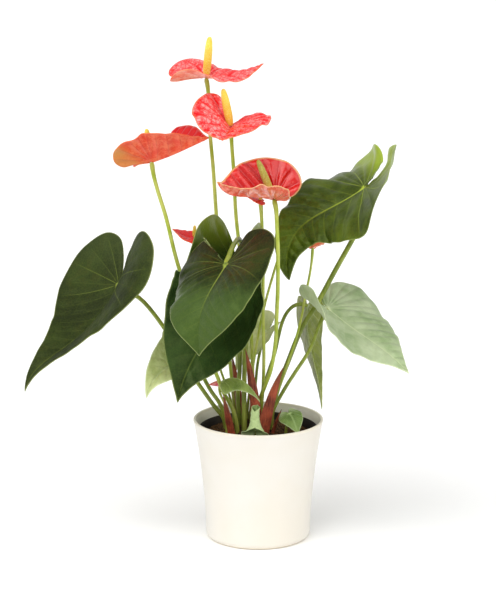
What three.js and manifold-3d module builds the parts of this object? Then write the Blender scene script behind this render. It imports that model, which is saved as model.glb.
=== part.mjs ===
// A flamingo flower (anthurium) with eleven leaves and seven open flowers, in a black nursery
// pot that stands inside a plain cream cover pot.
// Millimetres, +Z up. The origin is the centre of the cover pot's underside.

import * as THREE from 'three';
import { mergeVertices } from 'three/addons/utils/BufferGeometryUtils.js';
import Module from 'manifold-3d';

const wasm = await Module();
wasm.setup();

// ---------------------------------------------------------------- driving dimensions

const POT_HEIGHT = 131;
const POT_FOOT_RADIUS = 56.5;
const POT_FLARE = 13.5;
const POT_FLARE_POWER = 1.8;
const POT_WALL = 3;
const POT_FLOOR = 4;
const POT_CORNER = 6;
const POT_SIDES = 44;

const NURSERY_BASE = 4.4;
const NURSERY_TOP = 121;
const NURSERY_FOOT_RADIUS = 46.8;
const NURSERY_RIM_RADIUS = 64.2;
const NURSERY_WALL = 1.6;

const SOIL_EDGE_HEIGHT = 112;
const MOUND_HEIGHT = 12;
const MOUND_CENTRE = [-5, 12];
const MOUND_SPREAD = 32;
const SOIL_SIDES = 32;

const BLADE_THICKNESS = 1;
const BLADE_ROWS = 3;
const STALK_STEP = 15;
const CLEARANCE = 0.3;

const SPADIX_SIDES = 10;

// ---------------------------------------------------------------- colours

const COLOURS = {
  pot: [0xf5efe0, 0.42],
  nursery: [0x17130f, 0.55],
  soil: [0x3a2416, 0.95],
  matureLeaf: [0x2f5a26, 0.35],
  youngLeaf: [0xa3b887, 0.42],
  leafStalk: [0x6d7a22, 0.45],
  flowerStalk: [0xa3b04a, 0.42],
  spathe: [0xd21f2b, 0.25],
  paleSpathe: [0xdd5560, 0.35],
  spadix: [0xe9a52a, 0.5],
  bud: [0xe0566b, 0.4],
  sheath: [0x8a3a20, 0.55],
};

// ---------------------------------------------------------------- outlines of half a blade
// Each pair is [u, v]: u runs along the midrib from the stalk (0) to the tip (1), with the
// basal lobe behind it (below 0); v is the distance from the midrib, both over the length.

const LEAF = [
  [1, 0], [0.93, 0.028], [0.82, 0.085], [0.66, 0.2], [0.5, 0.315], [0.33, 0.415], [0.15, 0.475],
  [-0.05, 0.485], [-0.23, 0.42], [-0.34, 0.28], [-0.32, 0.14], [-0.2, 0.05], [-0.08, 0.012], [0, 0],
];
const SPATHE = [
  [1, 0], [0.95, 0.03], [0.86, 0.1], [0.7, 0.23], [0.52, 0.35], [0.33, 0.44], [0.13, 0.49],
  [-0.06, 0.48], [-0.2, 0.4], [-0.28, 0.26], [-0.25, 0.12], [-0.15, 0.04], [-0.06, 0.01], [0, 0],
];
const SHEATH = [[1, 0], [0.75, 0.05], [0.45, 0.09], [0.15, 0.1], [0, 0.08]];

// ---------------------------------------------------------------- leaves
// at: where the stalk meets the blade. length: from there to the tip. width, lobe, belly:
// factors on the outline (a pair is left, right). open: how wide the notch between the lobes
// is, left and right. pitch, yaw, roll: the midrib's heading in degrees, keys evenly spaced
// from u = -0.5 to 1. left, right: [fold keys, curl keys] of each half in degrees, spaced in
// the same way. path: the stalk's centre line from the blade to the soil.

const LEAVES = {
  leaf_left: {
    at: [-148, -6, 279], length: 156, width: 1.01, lobe: 1.05, belly: -0.2,
    pitch: [-70, -63, -55, -41, -30, -33, -75], yaw: [-120, -160], roll: [-15, 15],
    left: [[50, 44, 8], [-75, -55, -35]], right: [[5, 15], [0, 10]],
    colour: 'matureLeaf', radius: 2.3,
    path: [
      [-148, -6, 279], [-141, 12, 269], [-125, 22, 256], [-102, 20, 227], [-78, 18, 185],
      [-60, 16, 158], [-47, 13, 140], [-37, 12, 127], [-34, 12, 106],
    ],
  },
  leaf_front: {
    at: [-33, -104, 320], length: 106, width: 1.25, lobe: [1.1, 1], belly: 0.5,
    open: [0, 0.95],
    pitch: [-65, -35, -60, -115], yaw: [-110, -120, -132, -95], roll: [-10, 0],
    left: [[25, 15], [-5, -40]], right: [[5, 15], [-25, -70]],
    colour: 'matureLeaf', radius: 2.6,
    path: [
      [-33, -102, 320], [-30, -76, 325], [-25, -30, 328], [-20, 8, 325], [-16, 23, 310],
      [-11, 17, 270], [-13, 4, 221], [-15, -4, 176], [-15, -6, 126], [-15, -6, 106],
    ],
  },
  leaf_lower: {
    at: [-24, 13, 298], length: 165, width: 1.1, lobe: 0.75, belly: 0.35,
    pitch: [-55, -78, -43, -77], yaw: [-120, -145], roll: [30, 50],
    left: [[60, 15], [50, 60]], right: [[38, 20], [60, 25]],
    colour: 'matureLeaf', radius: 2.4,
    path: [
      [-24, 15, 297], [-22, 16, 285], [-20, 12, 255], [-20, 6, 209], [-20, 4, 183],
      [-22, 5, 154], [-20, 5, 124], [-20, 5, 106],
    ],
  },
  leaf_lower_left: {
    at: [-71, 20, 217], length: 95, width: 0.9, lobe: 1, belly: 0.1,
    pitch: [-55, -57, -15, -78], yaw: [-108, -145], roll: [30, 30],
    left: [[20, 13], [0, 0]], right: [[38, 32], [22, 29]],
    colour: 'youngLeaf', radius: 2.2,
    path: [
      [-71, 21, 216], [-69, 22, 205], [-61, 14, 178], [-51, 5, 160], [-42, 4, 147],
      [-35, 4, 129], [-33, 4, 106],
    ],
  },
  leaf_behind: {
    at: [9, 53, 214], length: 56, width: 1, lobe: 1, belly: 0,
    pitch: [-50, -40, -50, -65], yaw: [-175, -160], roll: [25, 40],
    left: [[30, 15], [20, 5]], right: [[15, 10], [5, 0]],
    colour: 'youngLeaf', radius: 1.6,
    path: [[9, 54, 213], [5, 56, 202], [0, 48, 182], [-4, 35, 149], [-8, 28, 131], [-8, 27, 106]],
  },
  leaf_upper_right: {
    at: [112, 9, 381], length: 143, width: 1.4, lobe: [0.9, 1.15], belly: [-0.42, -0.5],
    open: [0.2, 0.3],
    pitch: [-70, -35, -35, -120], yaw: [-135, -175, -120], roll: [-10, 30, 30],
    left: [[43, 10, 0], [35, 5, -5]], right: [[-10, 5, 25], [-5, -50, 15]],
    colour: 'matureLeaf', radius: 2.7,
    path: [
      [112, 10, 380], [117, 17, 369], [113, 27, 346], [104, 32, 326], [83, 28, 288],
      [64, 24, 253], [47, 19, 226], [33, 15, 192], [23, 12, 166], [13, 10, 137], [10, 9, 125],
      [9, 9, 106],
    ],
  },
  leaf_right: {
    at: [74, 16, 249], length: 117, width: 1.25, lobe: 0.55, belly: 0.1,
    pitch: [5, -30, -25, -40], yaw: [-30, -35], roll: [-15, -30],
    left: [[-5, -10], [15, -70]], right: [[25, 5], [90, 20]],
    colour: 'youngLeaf', radius: 2,
    path: [
      [74, 15, 248], [66, 6, 234], [55, -1, 207], [39, -4, 182], [28, -4, 164],
      [16, -3, 140], [13, -3, 125], [12, -3, 106],
    ],
  },
  leaf_hanging: {
    at: [53, 32, 248], length: 120, width: 0.6, lobe: 0.15, belly: -0.15,
    pitch: [-70, -85, -105, -95], yaw: [200, 200], roll: [65, 65],
    left: [[-60, -60], [0, 0]], right: [[-70, -65], [0, 0]],
    colour: 'youngLeaf', radius: 1.9,
    path: [
      [53, 31, 248], [47, 30, 250], [38, 29, 248], [31, 28, 241], [26, 26, 231], [22, 24, 216],
      [18, 21, 198], [11, 19, 177], [3, 17, 149], [1, 17, 129], [1, 17, 106],
    ],
  },
  leaf_young_front: {
    at: [-3, -42, 130], length: 29, width: 1.25, lobe: 1.2, belly: 0.8,
    pitch: [30, 55, 85, 92, 90, 60, 0], yaw: [75, 70], roll: [-15, -10],
    left: [[-20, 0, 0, 0], [10, 110, 235, 250]], right: [[-20, 0, 0, 0], [10, 110, 235, 250]],
    colour: 'youngLeaf', radius: 1.3,
    path: [[-3, -41, 129], [-3, -40, 120], [-3, -39, 106]],
  },
  leaf_young_right: {
    at: [33, -22, 142], length: 30, width: 0.9, lobe: 0.85, belly: 0.05,
    pitch: [-15, -15, -45, -50], yaw: [-65, -65], roll: [-20, -10],
    left: [[-10, 0], [-20, -15]], right: [[-15, 0], [-25, -10]],
    colour: 'youngLeaf', radius: 1.3,
    path: [[33, -21, 141], [32, -17, 135], [30, -14, 124], [29, -13, 106]],
  },
  leaf_young_arching: {
    at: [-38, -29, 180], length: 53, width: 0.7, lobe: 0.25, belly: 0,
    pitch: [55, 32, -36, -66], yaw: [-15, -10], roll: [0, 0],
    left: [[-30, -20], [-20, -20]], right: [[-35, -40], [-20, -30]],
    colour: 'matureLeaf', radius: 1.3,
    path: [[-38, -28, 179], [-37, -22, 167], [-30, -16, 150], [-25, -15, 134], [-23, -14, 106]],
  },
};

// ---------------------------------------------------------------- flowers
// tip, thick: the end and the diameter of the spadix, which starts at the same point.

const FLOWERS = {
  flower_top: {
    at: [-55, 26, 495], length: 63, width: 1.25, lobe: 1.9, belly: 0,
    pitch: [35, 0, 15, 30], yaw: [0, -5], roll: [-15, -10],
    left: [[40, -10], [-25, -60]], right: [[40, -10], [20, -25]],
    colour: 'paleSpathe', radius: 2, tip: [-51, 22, 538], thick: 8,
    path: [
      [-55, 26, 494], [-53, 27, 481], [-51, 28, 434], [-48, 31, 397], [-45, 34, 348],
      [-39, 35, 266], [-32, 30, 200], [-25, 20, 128], [-24, 20, 106],
    ],
  },
  flower_second: {
    at: [-29, 4, 446], length: 70, width: 1.25, lobe: 1.3, belly: 0.3,
    pitch: [0, 0, -5, -5], yaw: [-90, -100], roll: [5, -5],
    left: [[35, 5], [-20, 0]], right: [[65, 5], [15, 5]],
    colour: 'paleSpathe', radius: 2, tip: [-37, 0, 486], thick: 8,
    path: [
      [-29, 5, 445], [-28, 10, 425], [-26, 16, 395], [-24, 26, 350], [-21, 29, 320],
      [-15, 27, 270], [-8, 18, 223], [-6, 11, 170], [-7, 8, 128], [-7, 8, 106],
    ],
  },
  flower_left: {
    at: [-113, 20, 407], length: 72, width: 1.45, lobe: 1.45, belly: 0.3,
    pitch: [30, 20, 25, 25], yaw: [-15, -25], roll: [20, 10],
    left: [[30, 45], [10, 5]], right: [[10, 25], [15, -10]],
    colour: 'spathe', radius: 2.1, tip: [-118, 16, 442], thick: 7,
    path: [
      [-113, 20, 406], [-111, 18, 393], [-107, 14, 378], [-98, 10, 349], [-86, 0, 302],
      [-62, -8, 230], [-55, -15, 212], [-50, -22, 199], [-43, -18, 180], [-38, -11, 164],
      [-27, -9, 142], [-23, -8, 123], [-22, -8, 106],
    ],
  },
  flower_front: {
    at: [16, -35, 376], length: 76, width: 1.15, lobe: [0.6, 1], belly: 0,
    pitch: [30, 15, 8, 55], yaw: [-190, -125], roll: [35, 35],
    left: [[45, 60], [20, 10]], right: [[36, 20], [8, -5]],
    colour: 'spathe', radius: 2.1, tip: [-1, -38, 417], thick: 7,
    path: [
      [16, -36, 375], [18, -39, 366], [19, -44, 348], [20, -47, 325], [20, -44, 281],
      [19, -36, 251], [18, -26, 220], [13, -17, 188], [7, -10, 169], [1, -4, 150], [-2, -1, 130],
      [-3, -1, 106],
    ],
  },
  flower_hidden: {
    at: [2, -9, 370], length: 17, width: 1, lobe: 1, belly: 0,
    pitch: [10, 15, 20, 20], yaw: [-170, -165], roll: [-5, -5],
    left: [[-35, -20], [0, 0]], right: [[10, 10], [0, 0]],
    colour: 'spathe', radius: 1.8, tip: [3, -14, 392], thick: 5,
    path: [
      [2, -8, 369], [3, -5, 356], [4, -3, 335], [5, 0, 300], [5, 2, 250], [6, 3, 200],
      [5, 4, 160], [2, 5, 128], [2, 5, 106],
    ],
  },
  flower_behind: {
    at: [-69, 35, 322], length: 27, width: 1.05, lobe: 1, belly: 0,
    pitch: [0, 0, 30, 35], yaw: [195, 200], roll: [5, 15],
    left: [[5, -10], [-5, -10]], right: [[15, 15], [-5, 0]],
    colour: 'spathe', radius: 1.3, tip: [-68, 31, 336], thick: 4,
    path: [
      [-69, 36, 321], [-67, 39, 306], [-62, 40, 265], [-48, 34, 199], [-30, 28, 144],
      [-27, 28, 128], [-26, 28, 106],
    ],
  },
  flower_right: {
    at: [58, 18, 315], length: 23, width: 1.05, lobe: 1, belly: 0,
    pitch: [25, 25, 25, 25], yaw: [-25, -25], roll: [20, 15],
    left: [[10, 10], [0, 0]], right: [[25, 15], [15, 5]],
    colour: 'spathe', radius: 1.3, tip: [55, 19, 328], thick: 4,
    path: [
      [58, 17, 314], [57, 16, 300], [54, 16, 280], [50, 15, 261], [48, 13, 248], [45, 10, 234],
      [38, 6, 209], [30, 4, 186], [19, 3, 150], [15, 3, 127], [14, 3, 106],
    ],
  },
};

// ---------------------------------------------------------------- buds and a lone stalk

const BUDS = {
  bud: {
    at: [-42, -9, 169], length: 11, width: 1, lobe: 1, belly: 0,
    pitch: [0, 0, 10, 10], yaw: [180, 180], roll: [0, 0],
    left: [[45, 45], [50, 50]], right: [[45, 45], [50, 50]],
    colour: 'bud', radius: 1.1,
    path: [[-42, -9, 168], [-41, -9, 161], [-36, -11, 149], [-34, -12, 132], [-34, -12, 106]],
  },
};

const LONE_STALK = {
  radius: 1.4,
  path: [
    [22, 34, 303], [17, 33, 285], [8, 30, 253], [1, 26, 222], [-4, 22, 193], [-10, 18, 152],
    [-12, 17, 130], [-12, 17, 106],
  ],
};

// ---------------------------------------------------------------- sheaths
// Narrow bracts, curled round, that stand in the soil among the feet of the stalks.

const SHEATHS = {
  sheath_left: {
    at: [-27, -19, 108], length: 57, width: 0.75, lobe: 1, belly: 0,
    pitch: [82, 78, 78], yaw: [210, 210], roll: [-50, -50],
    left: [[10, 10], [110, 110]], right: [[10, 10], [110, 110]],
  },
  sheath_tall: {
    at: [0, -14, 108], length: 106, width: 0.6, lobe: 1, belly: 0,
    pitch: [92, 84, 78], yaw: [200, 200], roll: [-60, -60],
    left: [[10, 10], [110, 110]], right: [[10, 10], [110, 110]],
  },
  sheath_right: {
    at: [3, -22, 108], length: 88, width: 0.75, lobe: 1, belly: 0,
    pitch: [90, 78, 66], yaw: [10, 10], roll: [100, 100],
    left: [[10, 10], [110, 110]], right: [[10, 10], [110, 110]],
  },
  sheath_back: {
    at: [-17, 13, 108], length: 93, width: 0.5, lobe: 1, belly: 0,
    pitch: [90, 84, 80], yaw: [190, 190], roll: [-75, -75],
    left: [[10, 10], [110, 110]], right: [[10, 10], [110, 110]],
  },
  sheath_small: {
    at: [13, -12, 108], length: 38, width: 0.5, lobe: 1, belly: 0,
    pitch: [84, 74, 66], yaw: [5, 5], roll: [95, 95],
    left: [[10, 10], [110, 110]], right: [[10, 10], [110, 110]],
  },
};

// ---------------------------------------------------------------- the blade's surface

const DEGREE = Math.PI / 180;
const SPINE_POINTS = 91;

// Catmull-Rom value at a place t between b and c.
function spline(a, b, c, d, t) {
  const straight = 2 * b + (c - a) * t;
  return 0.5 * (straight + (2 * a - 5 * b + 4 * c - d) * t * t + (3 * b - a - 3 * c + d) * t ** 3);
}

// Value at u of keys that are evenly spaced from u = -0.5 to 1.
function keyed(keys, u) {
  const last = keys.length - 1;
  const x = THREE.MathUtils.clamp((u + 0.5) / 1.5, 0, 1) * last;
  const i = Math.min(Math.floor(x), last - 1);
  const before = i > 0 ? keys[i - 1] : 2 * keys[0] - keys[1];
  const after = i + 2 <= last ? keys[i + 2] : 2 * keys[last] - keys[last - 1];
  return spline(before, keys[i], keys[i + 1], after, x - i);
}

function heading(blade, u) {
  const pitch = keyed(blade.pitch, u) * DEGREE;
  const yaw = keyed(blade.yaw, u) * DEGREE;
  const flat = Math.cos(pitch);
  return new THREE.Vector3(flat * Math.cos(yaw), flat * Math.sin(yaw), Math.sin(pitch));
}

// Points of the midrib's curve from u = -0.5 to 1, with u = 0 at the stalk.
function spineOf(blade) {
  const step = 1.5 / (SPINE_POINTS - 1);
  const points = [new THREE.Vector3()];
  for (let i = 1; i < SPINE_POINTS; i++) {
    const middle = heading(blade, -0.5 + step * (i - 1)).add(heading(blade, -0.5 + step * i));
    const next = points[i - 1].clone().addScaledVector(middle, 0.5 * step * blade.length);
    points.push(next);
  }
  const shift = new THREE.Vector3(...blade.at).sub(points[(SPINE_POINTS - 1) / 3]);
  return points.map((p) => p.add(shift));
}

function bladePoint(blade, spine, u, v) {
  const x = ((u + 0.5) / 1.5) * (SPINE_POINTS - 1);
  const i = THREE.MathUtils.clamp(Math.floor(x), 0, SPINE_POINTS - 2);
  const point = spine[i].clone().lerp(spine[i + 1], x - i);
  const yaw = keyed(blade.yaw, u) * DEGREE;
  const roll = keyed(blade.roll, u) * DEGREE;
  const level = new THREE.Vector3(Math.sin(yaw), -Math.cos(yaw), 0);
  const upright = level.clone().cross(heading(blade, u));
  const across = level.clone().multiplyScalar(Math.cos(roll)).addScaledVector(upright, Math.sin(roll));
  const normal = upright.multiplyScalar(Math.cos(roll)).addScaledVector(level, -Math.sin(roll));
  const [folds, curls] = v > 0 ? blade.right : blade.left;
  const half = keyed(curls, u) * DEGREE * Math.abs(v);
  const bend = keyed(folds, u) * DEGREE + half;
  const chord = Math.abs(v) * blade.length * blade.width * (half ? Math.sin(half) / half : 1);
  point.addScaledVector(across, Math.sign(v) * chord * Math.cos(bend));
  return point.addScaledVector(normal, chord * Math.sin(bend));
}

// One half's value of a pair [left, right]; a single number stands for both halves.
function ofHalf(value, half) {
  return value.length ? value[half] : value;
}

// How much wider the outline is at a place along the midrib, for a blade's belly.
function swell(belly, along) {
  return along > 0 ? 1 + belly * 6.75 * along * along * (1 - along) : 1;
}

// A closed sheet of the given half thickness, with its margin moved out by `outset`.
function bladeGeometry(blade, outline, halfThickness, outset) {
  const spine = spineOf(blade);
  const meanBelly = (ofHalf(blade.belly, 0) + ofHalf(blade.belly, 1)) / 2;
  const points = [];
  const found = new Map();
  const index = (p) => {
    const key = p.toArray().map((c) => c.toFixed(3)).join();
    if (!found.has(key)) {
      found.set(key, points.length);
      points.push(p);
    }
    return found.get(key);
  };
  const triangles = [];
  const add = (a, b, c) => {
    if (a !== b && b !== c && c !== a) triangles.push([a, b, c]);
  };
  for (const side of [1, -1]) {
    const half = side > 0 ? 1 : 0;
    const lobe = ofHalf(blade.lobe, half);
    const open = ofHalf(blade.open ?? 0, half);
    const belly = ofHalf(blade.belly, half);
    const columns = outline.map(([along, out]) => {
      const u = along < 0 ? along * lobe : along;
      const v = Math.max(out * swell(belly, along), -along * open);
      const foot = Math.max(u - 0.84 * out * swell(meanBelly, along), 0);
      const column = [];
      for (let k = 0; k <= BLADE_ROWS; k++) {
        const s = k / BLADE_ROWS;
        column.push(index(bladePoint(blade, spine, foot + s * (u - foot), side * s * v)));
      }
      return column;
    });
    for (let i = 0; i + 1 < columns.length; i++) {
      for (let k = 0; k < BLADE_ROWS; k++) {
        const [a, b] = [columns[i][k], columns[i + 1][k]];
        const [c, d] = [columns[i + 1][k + 1], columns[i][k + 1]];
        if (side > 0) {
          add(a, b, c);
          add(a, c, d);
        } else {
          add(a, c, b);
          add(a, d, c);
        }
      }
    }
  }
  return thicken(points, triangles, halfThickness, outset);
}

// Gives an open sheet two faces and a rim.
function thicken(points, triangles, halfThickness, outset) {
  const normals = points.map(() => new THREE.Vector3());
  const edges = new Map();
  for (const [a, b, c] of triangles) {
    const ab = points[b].clone().sub(points[a]);
    const ac = points[c].clone().sub(points[a]);
    const normal = ab.cross(ac);
    for (const i of [a, b, c]) normals[i].add(normal);
    for (const [i, j] of [[a, b], [b, c], [c, a]]) {
      if (!edges.delete(j + ',' + i)) edges.set(i + ',' + j, [i, j]);
    }
  }
  const rim = [...edges.values()];
  const outward = new Map();
  for (const [i, j] of rim) {
    const along = points[j].clone().sub(points[i]).normalize();
    for (const k of [i, j]) {
      const out = along.clone().cross(normals[k].clone().normalize());
      outward.set(k, (outward.get(k) ?? new THREE.Vector3()).add(out));
    }
  }
  const moved = points.map((p, i) => {
    const out = outward.get(i);
    return out ? p.clone().addScaledVector(out.normalize(), outset) : p;
  });
  const positions = [];
  const count = points.length;
  for (const side of [1, -1]) {
    moved.forEach((p, i) => {
      const shift = normals[i].clone().setLength(side * halfThickness);
      positions.push(...p.clone().add(shift).toArray());
    });
  }
  const indices = [];
  for (const [a, b, c] of triangles) {
    indices.push(a, b, c);
    indices.push(a + count, c + count, b + count);
  }
  for (const [i, j] of rim) {
    indices.push(j, i, i + count);
    indices.push(j, i + count, j + count);
  }
  const geometry = new THREE.BufferGeometry();
  geometry.setAttribute('position', new THREE.Float32BufferAttribute(positions, 3));
  geometry.setIndex(indices);
  return geometry;
}

// ---------------------------------------------------------------- stalks and spadices

function stalkGeometry(path, radius) {
  const curve = new THREE.CatmullRomCurve3(path.map((p) => new THREE.Vector3(...p)));
  const sides = radius > 1.5 ? 8 : 6;
  const section = new THREE.Shape();
  for (let i = 0; i < sides; i++) {
    const angle = (2 * Math.PI * i) / sides;
    section[i ? 'lineTo' : 'moveTo'](radius * Math.cos(angle), radius * Math.sin(angle));
  }
  const steps = Math.max(4, Math.ceil(curve.getLength() / STALK_STEP));
  return new THREE.ExtrudeGeometry(section, { steps, extrudePath: curve, bevelEnabled: false });
}

function spadixGeometry(from, to, thick) {
  const start = new THREE.Vector3(...from);
  const axis = new THREE.Vector3(...to).sub(start);
  start.addScaledVector(axis, 1 / axis.length());
  const length = axis.length() - 1;
  const r = thick / 2;
  const profile = [
    [0, 0], [0.55 * r, 0.02 * length], [0.85 * r, 0.1 * length], [r, 0.28 * length],
    [0.97 * r, 0.55 * length], [0.85 * r, 0.8 * length], [0.62 * r, 0.93 * length],
    [0.3 * r, 0.99 * length], [0, length],
  ];
  const geometry = new THREE.LatheGeometry(profile.map((p) => new THREE.Vector2(...p)), SPADIX_SIDES);
  const turn = new THREE.Quaternion();
  turn.setFromUnitVectors(new THREE.Vector3(0, 1, 0), axis.clone().normalize());
  geometry.applyQuaternion(turn);
  return geometry.translate(start.x, start.y, start.z);
}

// ---------------------------------------------------------------- solids

function solidOf(geometry) {
  const bare = geometry.clone();
  bare.deleteAttribute('normal');
  bare.deleteAttribute('uv');
  const merged = mergeVertices(bare, 1e-4);
  const triVerts = new Uint32Array(merged.index.array);
  const vertProperties = merged.attributes.position.array;
  return new wasm.Manifold(new wasm.Mesh({ numProp: 3, vertProperties, triVerts }));
}

function geometryOf(solid) {
  const mesh = solid.getMesh();
  const geometry = new THREE.BufferGeometry();
  geometry.setAttribute('position', new THREE.Float32BufferAttribute(mesh.vertProperties, 3));
  geometry.setIndex([...mesh.triVerts]);
  geometry.computeVertexNormals();
  return geometry;
}

// The largest piece that is left of a solid when the cutters are taken away.
function cutBy(solid, cutters) {
  let rest = solid;
  for (const cutter of cutters) rest = rest.subtract(cutter);
  const pieces = rest.decompose();
  pieces.sort((a, b) => b.volume() - a.volume());
  return pieces[0];
}

function lathe(profile, sides) {
  const geometry = new THREE.LatheGeometry(profile.map((p) => new THREE.Vector2(...p)), sides);
  return geometry.rotateX(Math.PI / 2);
}

// ---------------------------------------------------------------- the group

const group = new THREE.Group();
group.name = 'anthurium';
const sockets = [];

function place(name, geometry, colour) {
  const [color, roughness] = COLOURS[colour];
  const material = new THREE.MeshStandardMaterial({ color, roughness, metalness: 0 });
  material.name = colour;
  const mesh = new THREE.Mesh(geometry, material);
  mesh.name = name;
  group.add(mesh);
}

function placeStalk(name, plan, colour, seats) {
  const solid = solidOf(stalkGeometry(plan.path, plan.radius));
  place(name + '_stalk', geometryOf(cutBy(solid, seats)), colour);
  const foot = plan.path[plan.path.length - 1];
  const deeper = [...plan.path.slice(0, -1), [foot[0], foot[1], foot[2] - CLEARANCE]];
  sockets.push(solidOf(stalkGeometry(deeper, plan.radius + 1.2 * CLEARANCE)));
}

function seatOf(plan, outline) {
  return solidOf(bladeGeometry(plan, outline, BLADE_THICKNESS / 2 + CLEARANCE, CLEARANCE));
}

for (const [name, plan] of Object.entries(LEAVES)) {
  const blade = bladeGeometry(plan, LEAF, BLADE_THICKNESS / 2, 0);
  place(name + '_blade', geometryOf(solidOf(blade)), plan.colour);
  placeStalk(name, plan, 'leafStalk', [seatOf(plan, LEAF)]);
}

for (const [name, plan] of Object.entries(FLOWERS)) {
  const spathe = bladeGeometry(plan, SPATHE, BLADE_THICKNESS / 2, 0);
  const seat = seatOf(plan, SPATHE);
  const spadix = solidOf(spadixGeometry(plan.at, plan.tip, plan.thick));
  place(name + '_spathe', geometryOf(solidOf(spathe)), plan.colour);
  place(name + '_spadix', geometryOf(cutBy(spadix, [seat])), 'spadix');
  placeStalk(name, plan, 'flowerStalk', [seat]);
}

for (const [name, plan] of Object.entries(BUDS)) {
  const blade = bladeGeometry(plan, SPATHE, BLADE_THICKNESS / 2, 0);
  place(name, geometryOf(solidOf(blade)), plan.colour);
  placeStalk(name, plan, 'flowerStalk', [seatOf(plan, SPATHE)]);
}

placeStalk('lone', LONE_STALK, 'flowerStalk', []);

for (const [name, plan] of Object.entries(SHEATHS)) {
  const blade = bladeGeometry(plan, SHEATH, BLADE_THICKNESS / 2, 0);
  place(name, geometryOf(solidOf(blade)), 'sheath');
  sockets.push(seatOf(plan, SHEATH));
}

// ---------------------------------------------------------------- soil

const nurseryRadius = (z) => {
  const t = (z - NURSERY_BASE) / (NURSERY_TOP - NURSERY_BASE);
  return NURSERY_FOOT_RADIUS + t * (NURSERY_RIM_RADIUS - NURSERY_FOOT_RADIUS);
};
const soilBase = NURSERY_BASE + NURSERY_WALL + CLEARANCE;
const soilRadius = (z) => nurseryRadius(z) - NURSERY_WALL - CLEARANCE;
const soilProfile = [
  [0, soilBase],
  [soilRadius(soilBase), soilBase],
  [soilRadius(SOIL_EDGE_HEIGHT), SOIL_EDGE_HEIGHT],
];
for (let r = 56; r >= 0; r -= 8) soilProfile.push([r, SOIL_EDGE_HEIGHT]);
const soil = lathe(soilProfile.map(([r, z]) => [r, z]), SOIL_SIDES);
const soilPoints = soil.getAttribute('position');
for (let i = 0; i < soilPoints.count; i++) {
  const [x, y, z] = [soilPoints.getX(i), soilPoints.getY(i), soilPoints.getZ(i)];
  if (z < SOIL_EDGE_HEIGHT - 1 || Math.hypot(x, y) > 57) continue;
  const away = Math.hypot(x - MOUND_CENTRE[0], y - MOUND_CENTRE[1]) / MOUND_SPREAD;
  soilPoints.setZ(i, z + MOUND_HEIGHT * Math.exp(-away * away));
}
place('soil', geometryOf(cutBy(solidOf(soil), sockets)), 'soil');

// ---------------------------------------------------------------- pots

const nursery = [
  [0, NURSERY_BASE],
  [NURSERY_FOOT_RADIUS, NURSERY_BASE],
  [NURSERY_RIM_RADIUS, NURSERY_TOP],
  [NURSERY_RIM_RADIUS - NURSERY_WALL, NURSERY_TOP],
  [nurseryRadius(NURSERY_BASE + NURSERY_WALL) - NURSERY_WALL, NURSERY_BASE + NURSERY_WALL],
  [0, NURSERY_BASE + NURSERY_WALL],
];
place('nursery_pot', geometryOf(solidOf(lathe(nursery, POT_SIDES))), 'nursery');

const potRadius = (z) => POT_FOOT_RADIUS + POT_FLARE * (z / POT_HEIGHT) ** POT_FLARE_POWER;
const pot = [[0, 0], [POT_FOOT_RADIUS - POT_CORNER, 0]];
for (const angle of [30, 60, 90]) {
  const out = Math.sin(angle * DEGREE) * POT_CORNER;
  const up = (1 - Math.cos(angle * DEGREE)) * POT_CORNER;
  pot.push([POT_FOOT_RADIUS - POT_CORNER + out, up]);
}
for (const t of [0.25, 0.5, 0.7, 0.86]) pot.push([potRadius(t * POT_HEIGHT), t * POT_HEIGHT]);
const rimRadius = POT_WALL / 2;
for (const angle of [0, 45, 90, 135, 180]) {
  const out = Math.cos(angle * DEGREE) * rimRadius;
  const up = Math.sin(angle * DEGREE) * rimRadius;
  pot.push([potRadius(POT_HEIGHT) - rimRadius + out, POT_HEIGHT - rimRadius + up]);
}
for (const t of [0.86, 0.7, 0.5, 0.25]) {
  pot.push([potRadius(t * POT_HEIGHT) - POT_WALL, t * POT_HEIGHT]);
}
pot.push([POT_FOOT_RADIUS - POT_WALL - POT_CORNER / 2, POT_FLOOR]);
pot.push([0, POT_FLOOR]);
place('pot', geometryOf(solidOf(lathe(pot, POT_SIDES))), 'pot');

export default group;
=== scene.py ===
"""A potted flamingo flower (anthurium): its leaves, flowers, soil and two pots.

The tables below are in millimetres and degrees; the pieces are made in metres, +Z up, with
the origin at the centre of the cover pot's underside.
"""

import math

import bpy
import numpy as np
from bpy.props import FloatProperty, FloatVectorProperty, IntProperty, PointerProperty
from mathutils import Matrix, Vector


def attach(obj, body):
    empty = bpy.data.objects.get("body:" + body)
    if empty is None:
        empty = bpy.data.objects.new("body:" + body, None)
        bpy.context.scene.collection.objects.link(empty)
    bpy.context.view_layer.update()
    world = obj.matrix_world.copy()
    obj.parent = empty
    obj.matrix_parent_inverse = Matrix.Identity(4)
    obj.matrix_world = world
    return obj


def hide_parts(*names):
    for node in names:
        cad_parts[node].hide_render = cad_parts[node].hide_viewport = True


bl_info = {
    "name": "Potted flamingo flower",
    "version": (1, 0, 0),
    "blender": (4, 5, 0),
    "location": "3D View > Sidebar > Plant",
    "description": "Makes the leaves, flowers, soil and pots of a flamingo flower",
    "category": "Object",
}

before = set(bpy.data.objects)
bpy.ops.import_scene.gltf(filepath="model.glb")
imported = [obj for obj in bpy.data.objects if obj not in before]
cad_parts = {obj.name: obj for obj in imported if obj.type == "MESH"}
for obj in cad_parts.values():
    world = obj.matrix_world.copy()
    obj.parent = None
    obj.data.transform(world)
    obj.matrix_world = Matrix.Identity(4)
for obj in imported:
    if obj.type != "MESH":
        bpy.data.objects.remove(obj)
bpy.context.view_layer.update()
MM = 0.001


def tone(code):
    """A colour as (red, green, blue) in linear light, from its six-digit screen code."""
    parts = [int(code[i : i + 2], 16) / 255 for i in (0, 2, 4)]
    return tuple(c / 12.92 if c < 0.04045 else ((c + 0.055) / 1.055) ** 2.4 for c in parts)


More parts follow.
